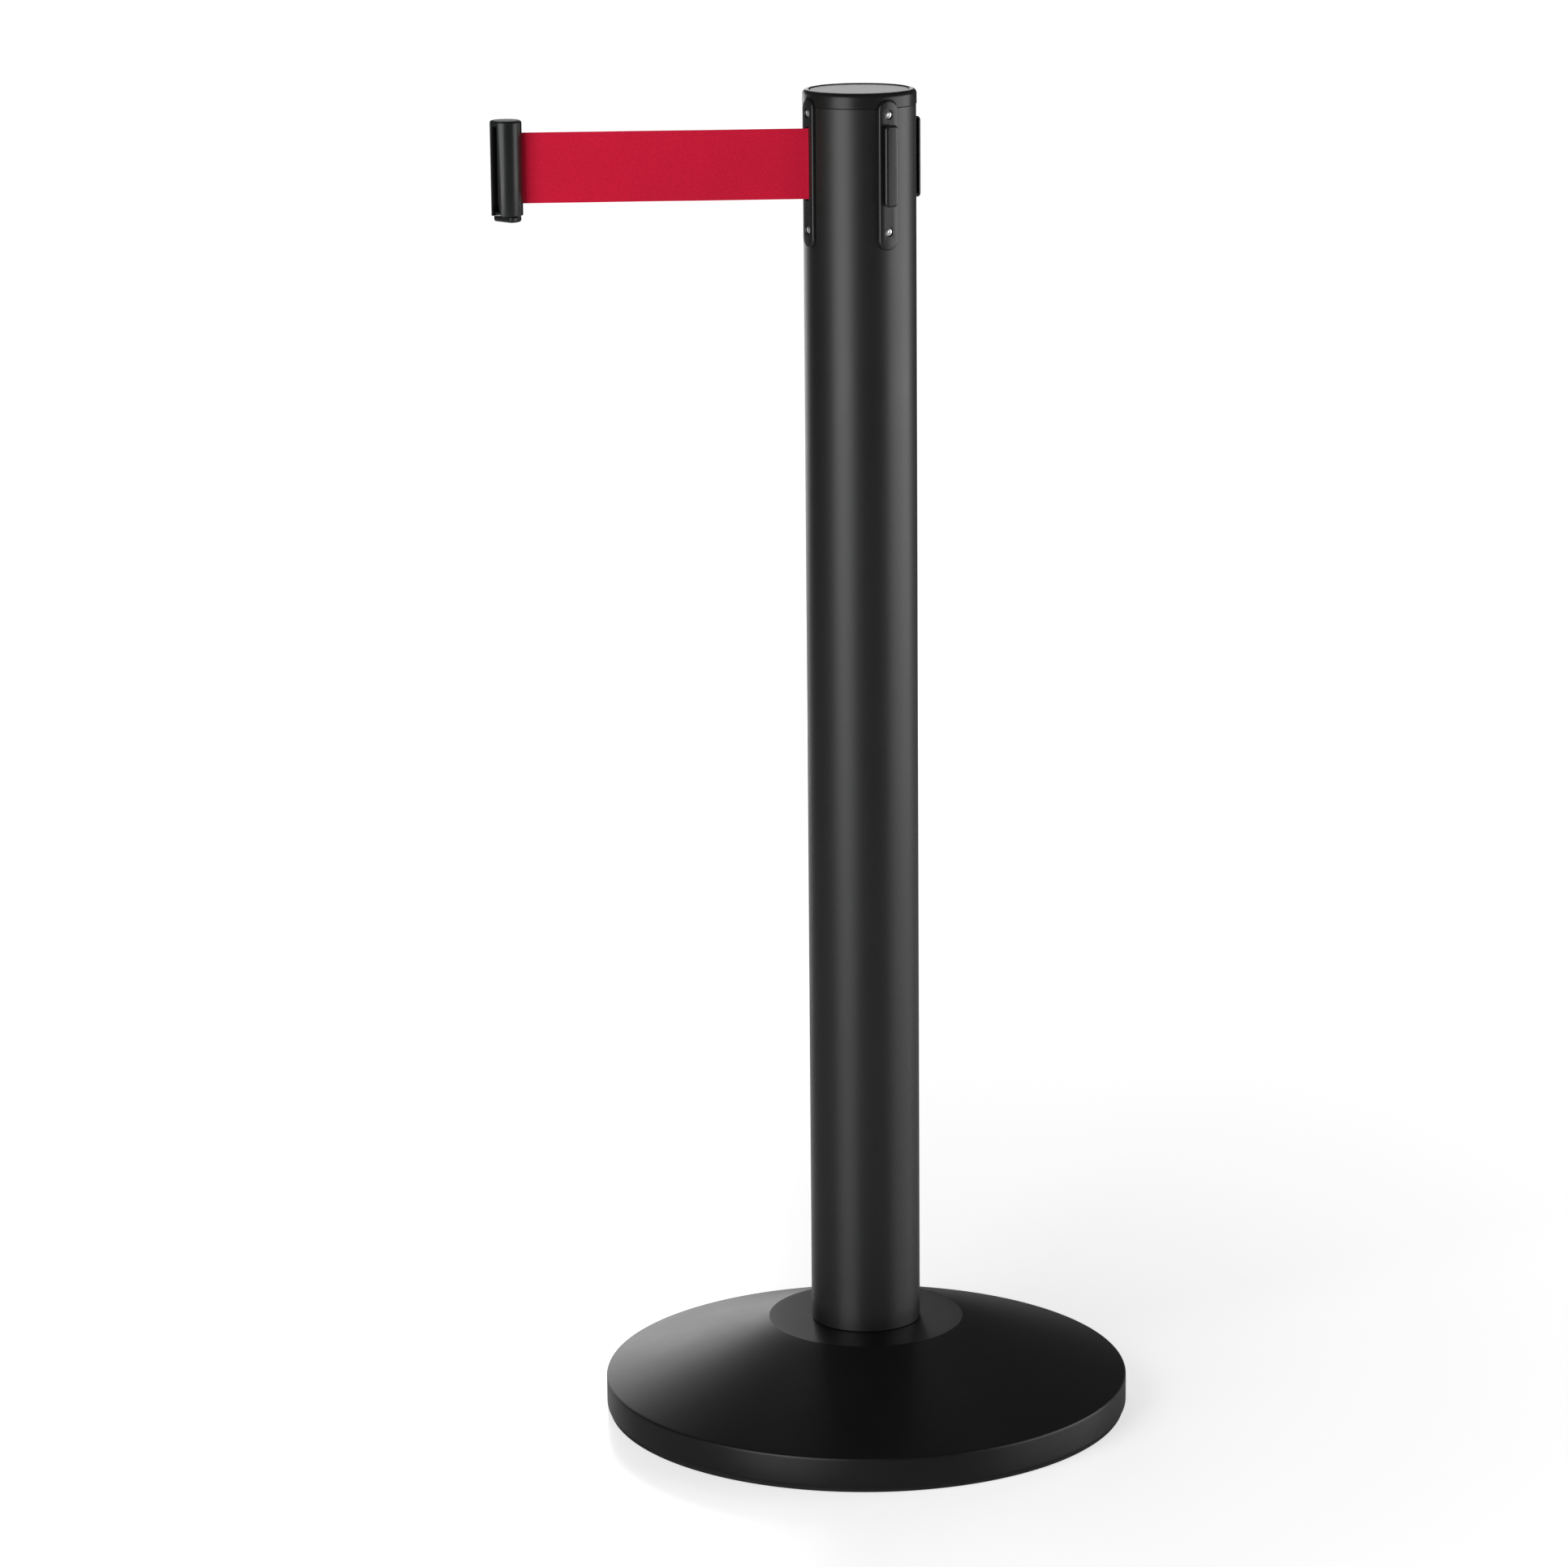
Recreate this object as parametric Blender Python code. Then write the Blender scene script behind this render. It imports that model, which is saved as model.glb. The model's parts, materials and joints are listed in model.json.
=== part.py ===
"""Retractable belt stanchion, in metres, +Z up.

The origin is on the floor, on the post's axis. The belt leaves the head on the -X side; the other
three sides (-Y, +X and +Y) carry a T-rail that takes the end clip of another post's belt.
"""

import math

import bmesh
import bpy
from mathutils import Vector

MM = 0.001
GAP = 0.3 * MM  # kept between pieces that touch
RUNNING_GAP = 0.1 * MM  # between a shaft and the bush that runs on it

BASE_SEGMENTS = 64
ROUND_SEGMENTS = 48
REEL_SEGMENTS = 36
SMALL_SEGMENTS = 24
FASTENER_SEGMENTS = 12

# Post and head
POST_HEIGHT = 925 * MM
POST_RADIUS = 38 * MM
POST_WALL = 1.5 * MM
CAP_HEIGHT = 9 * MM
CAP_RADIUS = 38.4 * MM
DISC_RADIUS = 33.1 * MM
BORE_RADIUS = POST_RADIUS - POST_WALL
INSERT_RADIUS = BORE_RADIUS - 0.4 * MM  # pieces that slide into the tube
TUBE_TOP = POST_HEIGHT - CAP_HEIGHT

# Base
BASE_RADIUS = 183 * MM
RIM_TOP = 24.5 * MM
PLATEAU_RADIUS = 69 * MM
PLATEAU_TOP = 64 * MM
COVER_SHEET = 1.2 * MM
FLOOR_RING_HEIGHT = 3.6 * MM
FLOOR_RING_INNER = 158 * MM
WEIGHT_RADIUS = 172 * MM
WEIGHT_THICKNESS = 16 * MM
HUB_RADIUS = 40 * MM
BOLT_RADIUS = 6 * MM
BOLT_HEAD_RADIUS = 10.4 * MM

# Side plates, which hold the head in the tube
PLATE_WIDTH = 14.2 * MM
PLATE_HEIGHT = 100 * MM
PLATE_FACE = 40 * MM  # distance of the flat face from the post's axis
PLATE_CENTRE_Z = POST_HEIGHT - 54.5 * MM
SCREW_Z = (POST_HEIGHT - 14.3 * MM, POST_HEIGHT - 92 * MM)
SCREW_SHANK = 1.5 * MM
SCREW_HEAD = 2.5 * MM
SCREW_SEAT = 38.8 * MM
RAIL_HEIGHT = 54.4 * MM
RAIL_WIDTH = 10 * MM
RAIL_FACE = 45 * MM
RAIL_UNDERSIDE = 43 * MM
RAIL_NECK = 4 * MM
PLATE_AZIMUTHS = {
    "outlet_plate": math.pi,
    "receiver_plate_1": -math.pi / 2,
    "receiver_plate_2": 0.0,
    "receiver_plate_3": math.pi / 2,
}

# Belt
BELT_WIDTH = 47 * MM
BELT_THICKNESS = 0.8 * MM
BELT_Z = POST_HEIGHT - 48 * MM
BELT_BOTTOM = BELT_Z - BELT_WIDTH / 2
BELT_TOP = BELT_Z + BELT_WIDTH / 2
ROLL_INNER = 15.9 * MM
ROLL_OUTER = 23.4 * MM
LEAD_RADIUS = ROLL_OUTER + GAP + BELT_THICKNESS / 2
OUTLET = Vector((-39.2 * MM, 0.0, BELT_Z))  # where the belt bends in the outlet slot
RUN_AZIMUTH = math.radians(154.7)
RUN_LENGTH = 197 * MM  # from the outlet to the clip's pin
LOOP_TAIL = 7 * MM
RUN_DIRECTION = Vector((math.cos(RUN_AZIMUTH), math.sin(RUN_AZIMUTH), 0.0))
PIN_PLACE = OUTLET + RUN_LENGTH * RUN_DIRECTION

# End clip, in its own frame: +X to the channel's mouth, the pin on the Z axis
CLIP_AZIMUTH = math.radians(197.8)
CLIP_RADIUS = 10.35 * MM
CLIP_CENTRE = 5.2 * MM
CLIP_FLAT = CLIP_CENTRE + 9.5 * MM
CLIP_TOP = POST_HEIGHT - 15.8 * MM
CLIP_BOTTOM = POST_HEIGHT - 78.9 * MM
CHANNEL_TOP = CLIP_TOP - 3.3 * MM
CHANNEL_WIDTH = 11.2 * MM
CHANNEL_BACK = CLIP_CENTRE + 1.5 * MM
LIP_THICKNESS = 2.4 * MM
MOUTH_WIDTH = 4.6 * MM
POCKET_RADIUS = 3.2 * MM
POCKET_BOTTOM = CLIP_BOTTOM + 5.4 * MM
POCKET_TOP = CLIP_TOP - 6.8 * MM
PIN_RADIUS = 1.5 * MM
PIN_HOLE_TOP = CLIP_TOP - 2.6 * MM
LOCK_THICKNESS = 3.7 * MM
LOCK_BOTTOM = CLIP_BOTTOM - 4.2 * MM
LOCK_RADIUS = 9.4 * MM
LOCK_FLAT = CLIP_CENTRE + 3.2 * MM
TONGUE_FRONT = CLIP_CENTRE + 7.8 * MM  # the tongue closes the channel's lower end
GROOVE_BACK = CLIP_CENTRE - 9.1 * MM
GROOVE_TOP = CLIP_BOTTOM + 2.9 * MM
RIB_FRONT = CLIP_CENTRE + 0.2 * MM
RIB_BACK = CLIP_CENTRE - 4.3 * MM

# Cassette: the reel and the frame that carries it
FRAME_PLATE_HEIGHT = 10 * MM
FRAME_TOP_Z = SCREW_Z[0] - 6.2 * MM  # underside of the upper frame plate
FRAME_BOTTOM_Z = SCREW_Z[1] - 5 * MM  # underside of the lower frame plate
PILLAR_RADIUS = 2.5 * MM
PILLAR_CIRCLE = 32 * MM
SPINDLE_RADIUS = 4 * MM
BUSH_OUTER = 6.5 * MM
FLANGE_RADIUS = 27 * MM
FLANGE_THICKNESS = 1.7 * MM
DRUM_OUTER = ROLL_INNER - GAP
DRUM_INNER = 14.2 * MM
REEL_BOTTOM = BELT_BOTTOM - 1.3 * MM - FLANGE_THICKNESS
REEL_TOP = BELT_TOP + 1.3 * MM + FLANGE_THICKNESS


# ---------------------------------------------------------------- scene and materials


def clear_scene():
    for obj in list(bpy.data.objects):
        bpy.data.objects.remove(obj, do_unlink=True)


def make_material(name, colour, roughness, metallic=0.0):
    material = bpy.data.materials.new(name)
    material.use_nodes = True
    shader = material.node_tree.nodes["Principled BSDF"]
    shader.inputs["Base Color"].default_value = (*colour, 1.0)
    shader.inputs["Roughness"].default_value = roughness
    shader.inputs["Metallic"].default_value = metallic
    return material


def make_materials():
    return {
        "black_paint": make_material("black_paint", (0.030, 0.032, 0.031), 0.38),
        "black_plastic": make_material("black_plastic", (0.034, 0.036, 0.035), 0.45),
        "grey_disc": make_material("grey_disc", (0.42, 0.43, 0.42), 0.35),
        "red_webbing": make_material("red_webbing", (0.53, 0.012, 0.040), 0.75),
        "rubber": make_material("rubber", (0.020, 0.020, 0.020), 0.80),
        "cast_iron": make_material("cast_iron", (0.16, 0.16, 0.16), 0.70, 0.8),
        "bright_steel": make_material("bright_steel", (0.75, 0.75, 0.74), 0.28, 1.0),
        "spring_steel": make_material("spring_steel", (0.35, 0.37, 0.40), 0.35, 1.0),
        "brass": make_material("brass", (0.72, 0.55, 0.25), 0.35, 1.0),
        "grey_plastic": make_material("grey_plastic", (0.25, 0.26, 0.27), 0.50),
    }


# ---------------------------------------------------------------- shape helpers


def add_object(name, bm, material=None):
    """Links a new object made from bm. Round faces are smooth, and edges over 35 degrees stay sharp."""
    bmesh.ops.recalc_face_normals(bm, faces=bm.faces)
    mesh = bpy.data.meshes.new(name)
    bm.to_mesh(mesh)
    bm.free()
    mesh.shade_smooth()
    mesh.set_sharp_from_angle(angle=math.radians(35))
    if material is not None:
        mesh.materials.append(material)
    obj = bpy.data.objects.new(name, mesh)
    bpy.context.scene.collection.objects.link(obj)
    return obj


def turned(name, profile, material=None, segments=ROUND_SEGMENTS, half_step=False):
    """Turns a profile of (radius, height) points about the Z axis. Its ends may lie on the axis.

    With half_step the facets straddle the X axis, so a cutter's corners stay off a symmetry plane.
    """
    bm = bmesh.new()
    phase = math.pi / segments if half_step else 0.0
    along_x, along_y = math.cos(phase), math.sin(phase)
    points = [bm.verts.new((radius * along_x, radius * along_y, height)) for radius, height in profile]
    on_axis = profile[0][0] == 0 and profile[-1][0] == 0
    pairs = zip(points, points[1:]) if on_axis else zip(points, points[1:] + points[:1])
    edges = [bm.edges.new(pair) for pair in pairs]
    bmesh.ops.spin(
        bm,
        geom=points + edges,
        cent=(0.0, 0.0, 0.0),
        axis=(0.0, 0.0, 1.0),
        angle=math.tau,
        steps=segments,
        use_merge=True,
    )
    bmesh.ops.remove_doubles(bm, verts=bm.verts, dist=0.001 * MM)
    return add_object(name, bm, material)


def rod_profile(radius, low, high):
    return [(0, low), (radius, low), (radius, high), (0, high)]


def ring_profile(inner, outer, low, high):
    return [(inner, low), (outer, low), (outer, high), (inner, high)]


def lofted(name, rings, material=None):
    """Skins rings of equally many points, one after the other, and closes both ends."""
    bm = bmesh.new()
    loops = [[bm.verts.new(point) for point in ring] for ring in rings]
    for first, second in zip(loops, loops[1:]):
        for i in range(len(first)):
            bm.faces.new((first[i - 1], first[i], second[i], second[i - 1]))
    bm.faces.new(loops[0])
    bm.faces.new(loops[-1])
    return add_object(name, bm, material)


def rounded_outline(width, height, radius, steps=5):
    """Points of a rectangle centred on the origin whose corners are arcs of the given radius."""
    outline = []
    for corner in range(4):
        start = corner * math.pi / 2
        side_x = 1 if corner in (0, 3) else -1
        side_y = 1 if corner in (0, 1) else -1
        centre = (side_x * (width / 2 - radius), side_y * (height / 2 - radius))
        for step in range(steps + 1):
            angle = start + step * math.pi / 2 / steps
            outline.append((centre[0] + radius * math.cos(angle), centre[1] + radius * math.sin(angle)))
    # Two arcs share an end where the rectangle is no wider than its corners.
    return [point for i, point in enumerate(outline) if math.dist(point, outline[i - 1]) > 0.001 * MM]


def upright_slab(name, sections, centre_z, material=None):
    """Lofts (x, outline) sections whose outlines lie in the YZ plane, about the height centre_z."""
    rings = [[(x, y, centre_z + z) for y, z in outline] for x, outline in sections]
    return lofted(name, rings, material)


def box(name, low, high):
    outline = [(low[0], low[1]), (high[0], low[1]), (high[0], high[1]), (low[0], high[1])]
    return lofted(name, [[(x, y, z) for x, y in outline] for z in (low[2], high[2])])


def ribbon(name, path, thickness, low, high, material=None):
    """A strip that stands on edge along a path of (x, y) points, from the height low to high."""
    points = [Vector((x, y)) for x, y in path]
    left, right = [], []
    for i, point in enumerate(points):
        ahead = points[min(i + 1, len(points) - 1)]
        behind = points[max(i - 1, 0)]
        along = (ahead - behind).normalized()
        across = Vector((-along.y, along.x)) * thickness / 2
        left.append(point + across)
        right.append(point - across)
    bm = bmesh.new()
    loops = []
    for a, b in zip(left, right):
        corners = ((a, low), (b, low), (b, high), (a, high))
        loops.append([bm.verts.new((spot.x, spot.y, z)) for spot, z in corners])
    for first, second in zip(loops, loops[1:]):
        for i in range(4):
            bm.faces.new((first[i - 1], first[i], second[i], second[i - 1]))
    bm.faces.new(loops[0])
    bm.faces.new(loops[-1])
    return add_object(name, bm, material)


def as_helper(obj):
    """Marks a shape that only cuts or joins another one."""
    obj.hide_render = True
    obj.display_type = "WIRE"
    return obj


def combine(obj, helper, operation):
    """The helper is made in obj's own frame, and follows it as its child."""
    helper.parent = obj
    modifier = obj.modifiers.new(helper.name, "BOOLEAN")
    modifier.operation = operation
    modifier.solver = "EXACT"
    modifier.object = as_helper(helper)


def cut(obj, *helpers):
    for helper in helpers:
        combine(obj, helper, "DIFFERENCE")


def join(obj, *helpers):
    for helper in helpers:
        combine(obj, helper, "UNION")


def radial_cutter(name, profile, height, azimuth):
    """A turned cutter whose axis points away from the post's axis."""
    cutter = turned(name, profile, None, FASTENER_SEGMENTS, half_step=True)
    cutter.rotation_euler = (0.0, math.pi / 2, azimuth)
    cutter.location.z = height
    return cutter


def make_empty(name, place, azimuth):
    empty = bpy.data.objects.new(name, None)
    empty.location = place
    empty.rotation_euler.z = azimuth
    bpy.context.scene.collection.objects.link(empty)
    return empty


# ---------------------------------------------------------------- base


def base_cover(materials):
    """A pressed steel dish: upright rim, rounded shoulder, shallow cone and a flat plateau."""
    shoulder = 2 * MM
    sheet = COVER_SHEET
    inner_edge = BOLT_RADIUS + 1.5 * MM
    outer_rim = BASE_RADIUS
    bottom = FLOOR_RING_HEIGHT + GAP
    shoulder_arc = [
        (
            outer_rim - shoulder * (1 - math.cos(angle)),
            RIM_TOP - shoulder * (1 - math.sin(angle)),
        )
        for angle in (0, math.radians(36), math.radians(71))
    ]
    profile = [
        (inner_edge, PLATEAU_TOP),
        (PLATEAU_RADIUS - 0.8 * MM, PLATEAU_TOP),
        (PLATEAU_RADIUS, PLATEAU_TOP - 0.4 * MM),
        *reversed(shoulder_arc),
        (outer_rim, bottom),
        (outer_rim - sheet, bottom),
        (outer_rim - sheet, RIM_TOP - shoulder),
        (outer_rim - shoulder - 0.4 * MM, RIM_TOP - sheet),
        (PLATEAU_RADIUS - 0.2 * MM, PLATEAU_TOP - sheet - 0.4 * MM),
        (PLATEAU_RADIUS - 1 * MM, PLATEAU_TOP - sheet),
        (inner_edge, PLATEAU_TOP - sheet),
    ]
    return turned("base_cover", profile, materials["black_paint"], BASE_SEGMENTS)


def base_weight(materials):
    """A cast-iron disc with a hub that holds up the plateau, counterbored for the bolt's head."""
    low = FLOOR_RING_HEIGHT + GAP
    disc_top = low + WEIGHT_THICKNESS
    hub_top = PLATEAU_TOP - COVER_SHEET - GAP
    bore = BOLT_RADIUS + 0.5 * MM
    counterbore = 15 * MM
    counterbore_top = low + 13 * MM
    profile = [
        (bore, hub_top),
        (HUB_RADIUS, hub_top),
        (HUB_RADIUS + 8 * MM, disc_top),
        (WEIGHT_RADIUS - 3 * MM, disc_top),
        (WEIGHT_RADIUS, disc_top - 3 * MM),
        (WEIGHT_RADIUS, low),
        (counterbore, low),
        (counterbore, counterbore_top),
        (bore, counterbore_top),
    ]
    return turned("base_weight", profile, materials["cast_iron"])


def floor_ring(materials):
    """A moulded rubber ring under the rim, which the whole post stands on."""
    edge = BASE_RADIUS - 1.6 * MM
    top = FLOOR_RING_HEIGHT
    profile = [
        (FLOOR_RING_INNER, 0.0),
        (edge - 0.6 * MM, 0.0),
        (edge, 0.6 * MM),
        (edge, top),
        (FLOOR_RING_INNER, top),
    ]
    return turned("floor_ring", profile, materials["rubber"], BASE_SEGMENTS)


def base_fasteners(materials):
    """The bolt from beneath, its washers and the threaded plug in the tube's foot."""
    head_low = FLOOR_RING_HEIGHT + 0.3 * MM
    head_high = head_low + 7.5 * MM
    bolt_end = PLATEAU_TOP + 22 * MM
    steel = materials["bright_steel"]
    head = [
        (BOLT_HEAD_RADIUS * math.cos(i * math.pi / 3), BOLT_HEAD_RADIUS * math.sin(i * math.pi / 3))
        for i in range(6)
    ]
    bolt = lofted("base_bolt", [[(x, y, z) for x, y in head] for z in (head_low, head_high)], steel)
    shank = rod_profile(BOLT_RADIUS, head_high - MM, bolt_end)
    join(bolt, turned("bolt_shank", shank, None, SMALL_SEGMENTS))

    washer_bore = BOLT_RADIUS + 0.4 * MM
    lock_low = head_high + 0.2 * MM
    lock_high = lock_low + 2.2 * MM
    lock_ring = ring_profile(washer_bore, 10.5 * MM, lock_low, lock_high)
    lock_washer = turned("lock_washer", lock_ring, steel, SMALL_SEGMENTS)
    split_low = (washer_bore - MM, -0.6 * MM, lock_low - MM)
    split_high = (12 * MM, 0.6 * MM, lock_high + MM)
    cut(lock_washer, box("washer_split", split_low, split_high))
    washer_low = lock_high + 0.2 * MM
    washer = ring_profile(washer_bore, 13 * MM, washer_low, washer_low + 2.2 * MM)
    turned("base_washer", washer, steel, SMALL_SEGMENTS)

    plug_low = PLATEAU_TOP + 2 * GAP
    plug_profile = [
        (BOLT_RADIUS + GAP, plug_low),
        (BORE_RADIUS - GAP, plug_low),
        (BORE_RADIUS - GAP, plug_low + 8 * MM),
        (16 * MM, plug_low + 8 * MM),
        (16 * MM, plug_low + 20 * MM),
        (BOLT_RADIUS + GAP, plug_low + 20 * MM),
    ]
    turned("tube_plug", plug_profile, materials["cast_iron"], REEL_SEGMENTS)


# ---------------------------------------------------------------- tube, cap and plates


def post_tube(materials):
    """The tube, with a window for the belt and a hole behind each plate screw."""
    low = PLATEAU_TOP + GAP
    wall = ring_profile(BORE_RADIUS, POST_RADIUS, low, TUBE_TOP)
    tube = turned("post_tube", wall, materials["black_paint"])
    window = rounded_outline(8.5 * MM, 52 * MM, 3 * MM, 3)
    window_cutter = upright_slab("belt_window", [(30 * MM, window), (41 * MM, window)], BELT_Z)
    window_cutter.rotation_euler.z = PLATE_AZIMUTHS["outlet_plate"]
    cut(tube, window_cutter)
    for name, azimuth in PLATE_AZIMUTHS.items():
        for i, height in enumerate(SCREW_Z):
            hole = rod_profile(2 * MM, 30 * MM, 41 * MM)
            cut(tube, radial_cutter(f"tube_hole_{name}_{i}", hole, height, azimuth))


def top_cap(materials):
    """The cap: a ring with a rounded rim, a recess for the disc and a boss for its screw."""
    low = TUBE_TOP + GAP
    spigot_low = low - 1.5 * MM
    rim_rounding = 1.8 * MM
    top = POST_HEIGHT
    floor_of_recess = top - 1.6 * MM
    underside = floor_of_recess - 2.9 * MM
    rim_arc = [
        (
            CAP_RADIUS - rim_rounding * (1 - math.cos(angle)),
            top - rim_rounding * (1 - math.sin(angle)),
        )
        for angle in (0, math.radians(45), math.radians(90))
    ]
    profile = [
        (2.8 * MM, spigot_low),
        (7 * MM, spigot_low),
        (7 * MM, underside),
        (34 * MM, underside),
        (34 * MM, spigot_low),
        (INSERT_RADIUS, spigot_low),
        (INSERT_RADIUS, low),
        (CAP_RADIUS, low),
        *rim_arc,
        (DISC_RADIUS + GAP, top),
        (DISC_RADIUS + GAP, floor_of_recess),
        (5.1 * MM, floor_of_recess),
        (5.1 * MM, underside + 0.2 * MM),
        (2.8 * MM, underside + 0.2 * MM),
    ]
    cap = turned("top_cap", profile, materials["black_plastic"])
    margin = 1 * MM
    notch = rounded_outline(PLATE_WIDTH + 2 * margin, PLATE_HEIGHT + 2 * margin, PLATE_WIDTH / 2 + margin, 6)
    for name, azimuth in PLATE_AZIMUTHS.items():
        cutter = upright_slab(f"cap_notch_{name}", [(37.8 * MM, notch), (42 * MM, notch)], PLATE_CENTRE_Z)
        cutter.rotation_euler.z = azimuth
        cut(cap, cutter)

    disc_low = floor_of_recess + GAP
    turned("cap_disc", rod_profile(DISC_RADIUS, disc_low, disc_low + MM), materials["grey_disc"])

    head_low = underside + 0.4 * MM
    shank_low = spigot_low - 6 * MM
    screw_profile = [
        (0, shank_low),
        (2.5 * MM, shank_low),
        (2.5 * MM, head_low),
        (4.6 * MM, head_low),
        (4.6 * MM, head_low + 1.6 * MM),
        (3.8 * MM, head_low + 2.2 * MM),
        (1.5 * MM, head_low + 2.2 * MM),
        (1.5 * MM, head_low + 0.9 * MM),
        (0, head_low + 0.9 * MM),
    ]
    turned("cap_screw", screw_profile, materials["bright_steel"], SMALL_SEGMENTS)


def plate_blank(name, material):
    """A long plate with round ends. Its back follows the tube and its flat face has bevelled edges."""
    bevel = 0.7 * MM
    full = rounded_outline(PLATE_WIDTH, PLATE_HEIGHT, PLATE_WIDTH / 2, 6)
    inset = rounded_outline(
        PLATE_WIDTH - 2 * bevel, PLATE_HEIGHT - 2 * bevel, PLATE_WIDTH / 2 - bevel, 6
    )
    sections = [(36 * MM, full), (PLATE_FACE - bevel, full), (PLATE_FACE, inset)]
    plate = upright_slab(name, sections, PLATE_CENTRE_Z, material)
    reach = PLATE_HEIGHT
    seat_radius = CAP_RADIUS - 0.1 * MM
    core = rod_profile(seat_radius, PLATE_CENTRE_Z - reach, PLATE_CENTRE_Z + reach)
    cut(plate, turned(f"{name}_seat", core, None, 96, half_step=True))
    counterbore = [
        (0, 30 * MM),
        (SCREW_SHANK + GAP, 30 * MM),
        (SCREW_SHANK + GAP, SCREW_SEAT),
        (SCREW_HEAD + 0.6 * MM, SCREW_SEAT),
        (SCREW_HEAD + 0.6 * MM, 44 * MM),
        (0, 44 * MM),
    ]
    for i, height in enumerate(SCREW_Z):
        cut(plate, radial_cutter(f"{name}_counterbore_{i}", counterbore, height, 0.0))
    return plate


def outlet_plate(materials):
    """The plate that the belt runs out of, through a slot with flared lips."""
    plate = plate_blank("outlet_plate", materials["black_plastic"])
    slot_height = BELT_WIDTH + 3 * MM
    narrow = rounded_outline(3.4 * MM, slot_height, 1.2 * MM, 3)
    wide = rounded_outline(5.4 * MM, slot_height + 2 * MM, 2.2 * MM, 3)
    sections = [(34 * MM, narrow), (PLATE_FACE - 0.9 * MM, narrow), (PLATE_FACE + 0.1 * MM, wide)]
    cut(plate, upright_slab("outlet_slot", sections, BELT_Z))
    plate.rotation_euler.z = PLATE_AZIMUTHS["outlet_plate"]


def receiver_plate(name, materials):
    """A plate with a T-rail: a rounded head on a narrow neck."""
    plate = plate_blank(name, materials["black_plastic"])
    neck = rounded_outline(RAIL_NECK, RAIL_HEIGHT - 4 * MM, 1 * MM, 2)
    neck_body = upright_slab(f"{name}_neck", [(PLATE_FACE - MM, neck), (RAIL_UNDERSIDE + MM, neck)], BELT_Z)
    head_sections = []
    for x, inset in (
        (RAIL_UNDERSIDE, 0.0),
        (RAIL_FACE - 1.1 * MM, 0.0),
        (RAIL_FACE - 0.3 * MM, 0.5 * MM),
        (RAIL_FACE, 1.3 * MM),
    ):
        outline = rounded_outline(RAIL_WIDTH - 2 * inset, RAIL_HEIGHT - 2 * inset, 3.2 * MM - inset, 4)
        head_sections.append((x, outline))
    join(plate, neck_body, upright_slab(f"{name}_head", head_sections, BELT_Z))
    plate.rotation_euler.z = PLATE_AZIMUTHS[name]


def plate_screws(materials):
    """Button-head screws with a round socket. All eight share one mesh."""
    head_low = SCREW_SEAT + 0.1 * MM
    head_high = head_low + 1.1 * MM
    profile = [
        (0, head_low - 10 * MM),
        (SCREW_SHANK, head_low - 10 * MM),
        (SCREW_SHANK, head_low),
        (SCREW_HEAD, head_low),
        (SCREW_HEAD, head_low + 0.5 * MM),
        (SCREW_HEAD - 0.8 * MM, head_high),
        (1.1 * MM, head_high),
        (1.1 * MM, head_low + 0.3 * MM),
        (0, head_low + 0.3 * MM),
    ]
    first = None
    for side, azimuth in enumerate(PLATE_AZIMUTHS.values()):
        for i, height in enumerate(SCREW_Z):
            name = f"plate_screw_{2 * side + i + 1}"
            if first is None:
                screw = first = turned(name, profile, materials["bright_steel"], FASTENER_SEGMENTS)
            else:
                screw = bpy.data.objects.new(name, first.data)
                bpy.context.scene.collection.objects.link(screw)
            screw.rotation_euler = (0.0, math.pi / 2, azimuth)
            screw.location.z = height


# ---------------------------------------------------------------- cassette


def cassette_frame(materials):
    """Two thick end plates, which the plate screws bite into, held apart by four pillars."""
    plastic = materials["grey_plastic"]
    top_low = FRAME_TOP_Z
    top_high = top_low + FRAME_PLATE_HEIGHT
    spindle_hole = SPINDLE_RADIUS + GAP
    top_profile = [
        (spindle_hole, top_low),
        (INSERT_RADIUS, top_low),
        (INSERT_RADIUS, top_high),
        (2.8 * MM, top_high),
        (2.8 * MM, top_low + 3.7 * MM),
        (spindle_hole, top_low + 3.7 * MM),
    ]
    bottom_low = FRAME_BOTTOM_Z
    bottom_high = bottom_low + FRAME_PLATE_HEIGHT
    bottom_profile = [
        (0, bottom_low),
        (INSERT_RADIUS, bottom_low),
        (INSERT_RADIUS, bottom_high),
        (spindle_hole, bottom_high),
        (spindle_hole, bottom_low + 2 * MM),
        (0, bottom_low + 2 * MM),
    ]
    plates = (
        (turned("cassette_top", top_profile, plastic, REEL_SEGMENTS), SCREW_Z[0]),
        (turned("cassette_bottom", bottom_profile, plastic, REEL_SEGMENTS), SCREW_Z[1]),
    )
    for plate, height in plates:
        for side, azimuth in enumerate(PLATE_AZIMUTHS.values()):
            pilot = rod_profile(SCREW_SHANK + GAP, 27 * MM, 40 * MM)
            cut(plate, radial_cutter(f"{plate.name}_pilot_{side}", pilot, height, azimuth))

    rod = rod_profile(PILLAR_RADIUS, bottom_high + GAP, top_low - GAP)
    for i in range(4):
        pillar = turned(f"cassette_pillar_{i + 1}", rod, materials["bright_steel"], FASTENER_SEGMENTS)
        angle = math.pi / 4 + i * math.pi / 2
        pillar.location = (PILLAR_CIRCLE * math.cos(angle), PILLAR_CIRCLE * math.sin(angle), 0.0)


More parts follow.
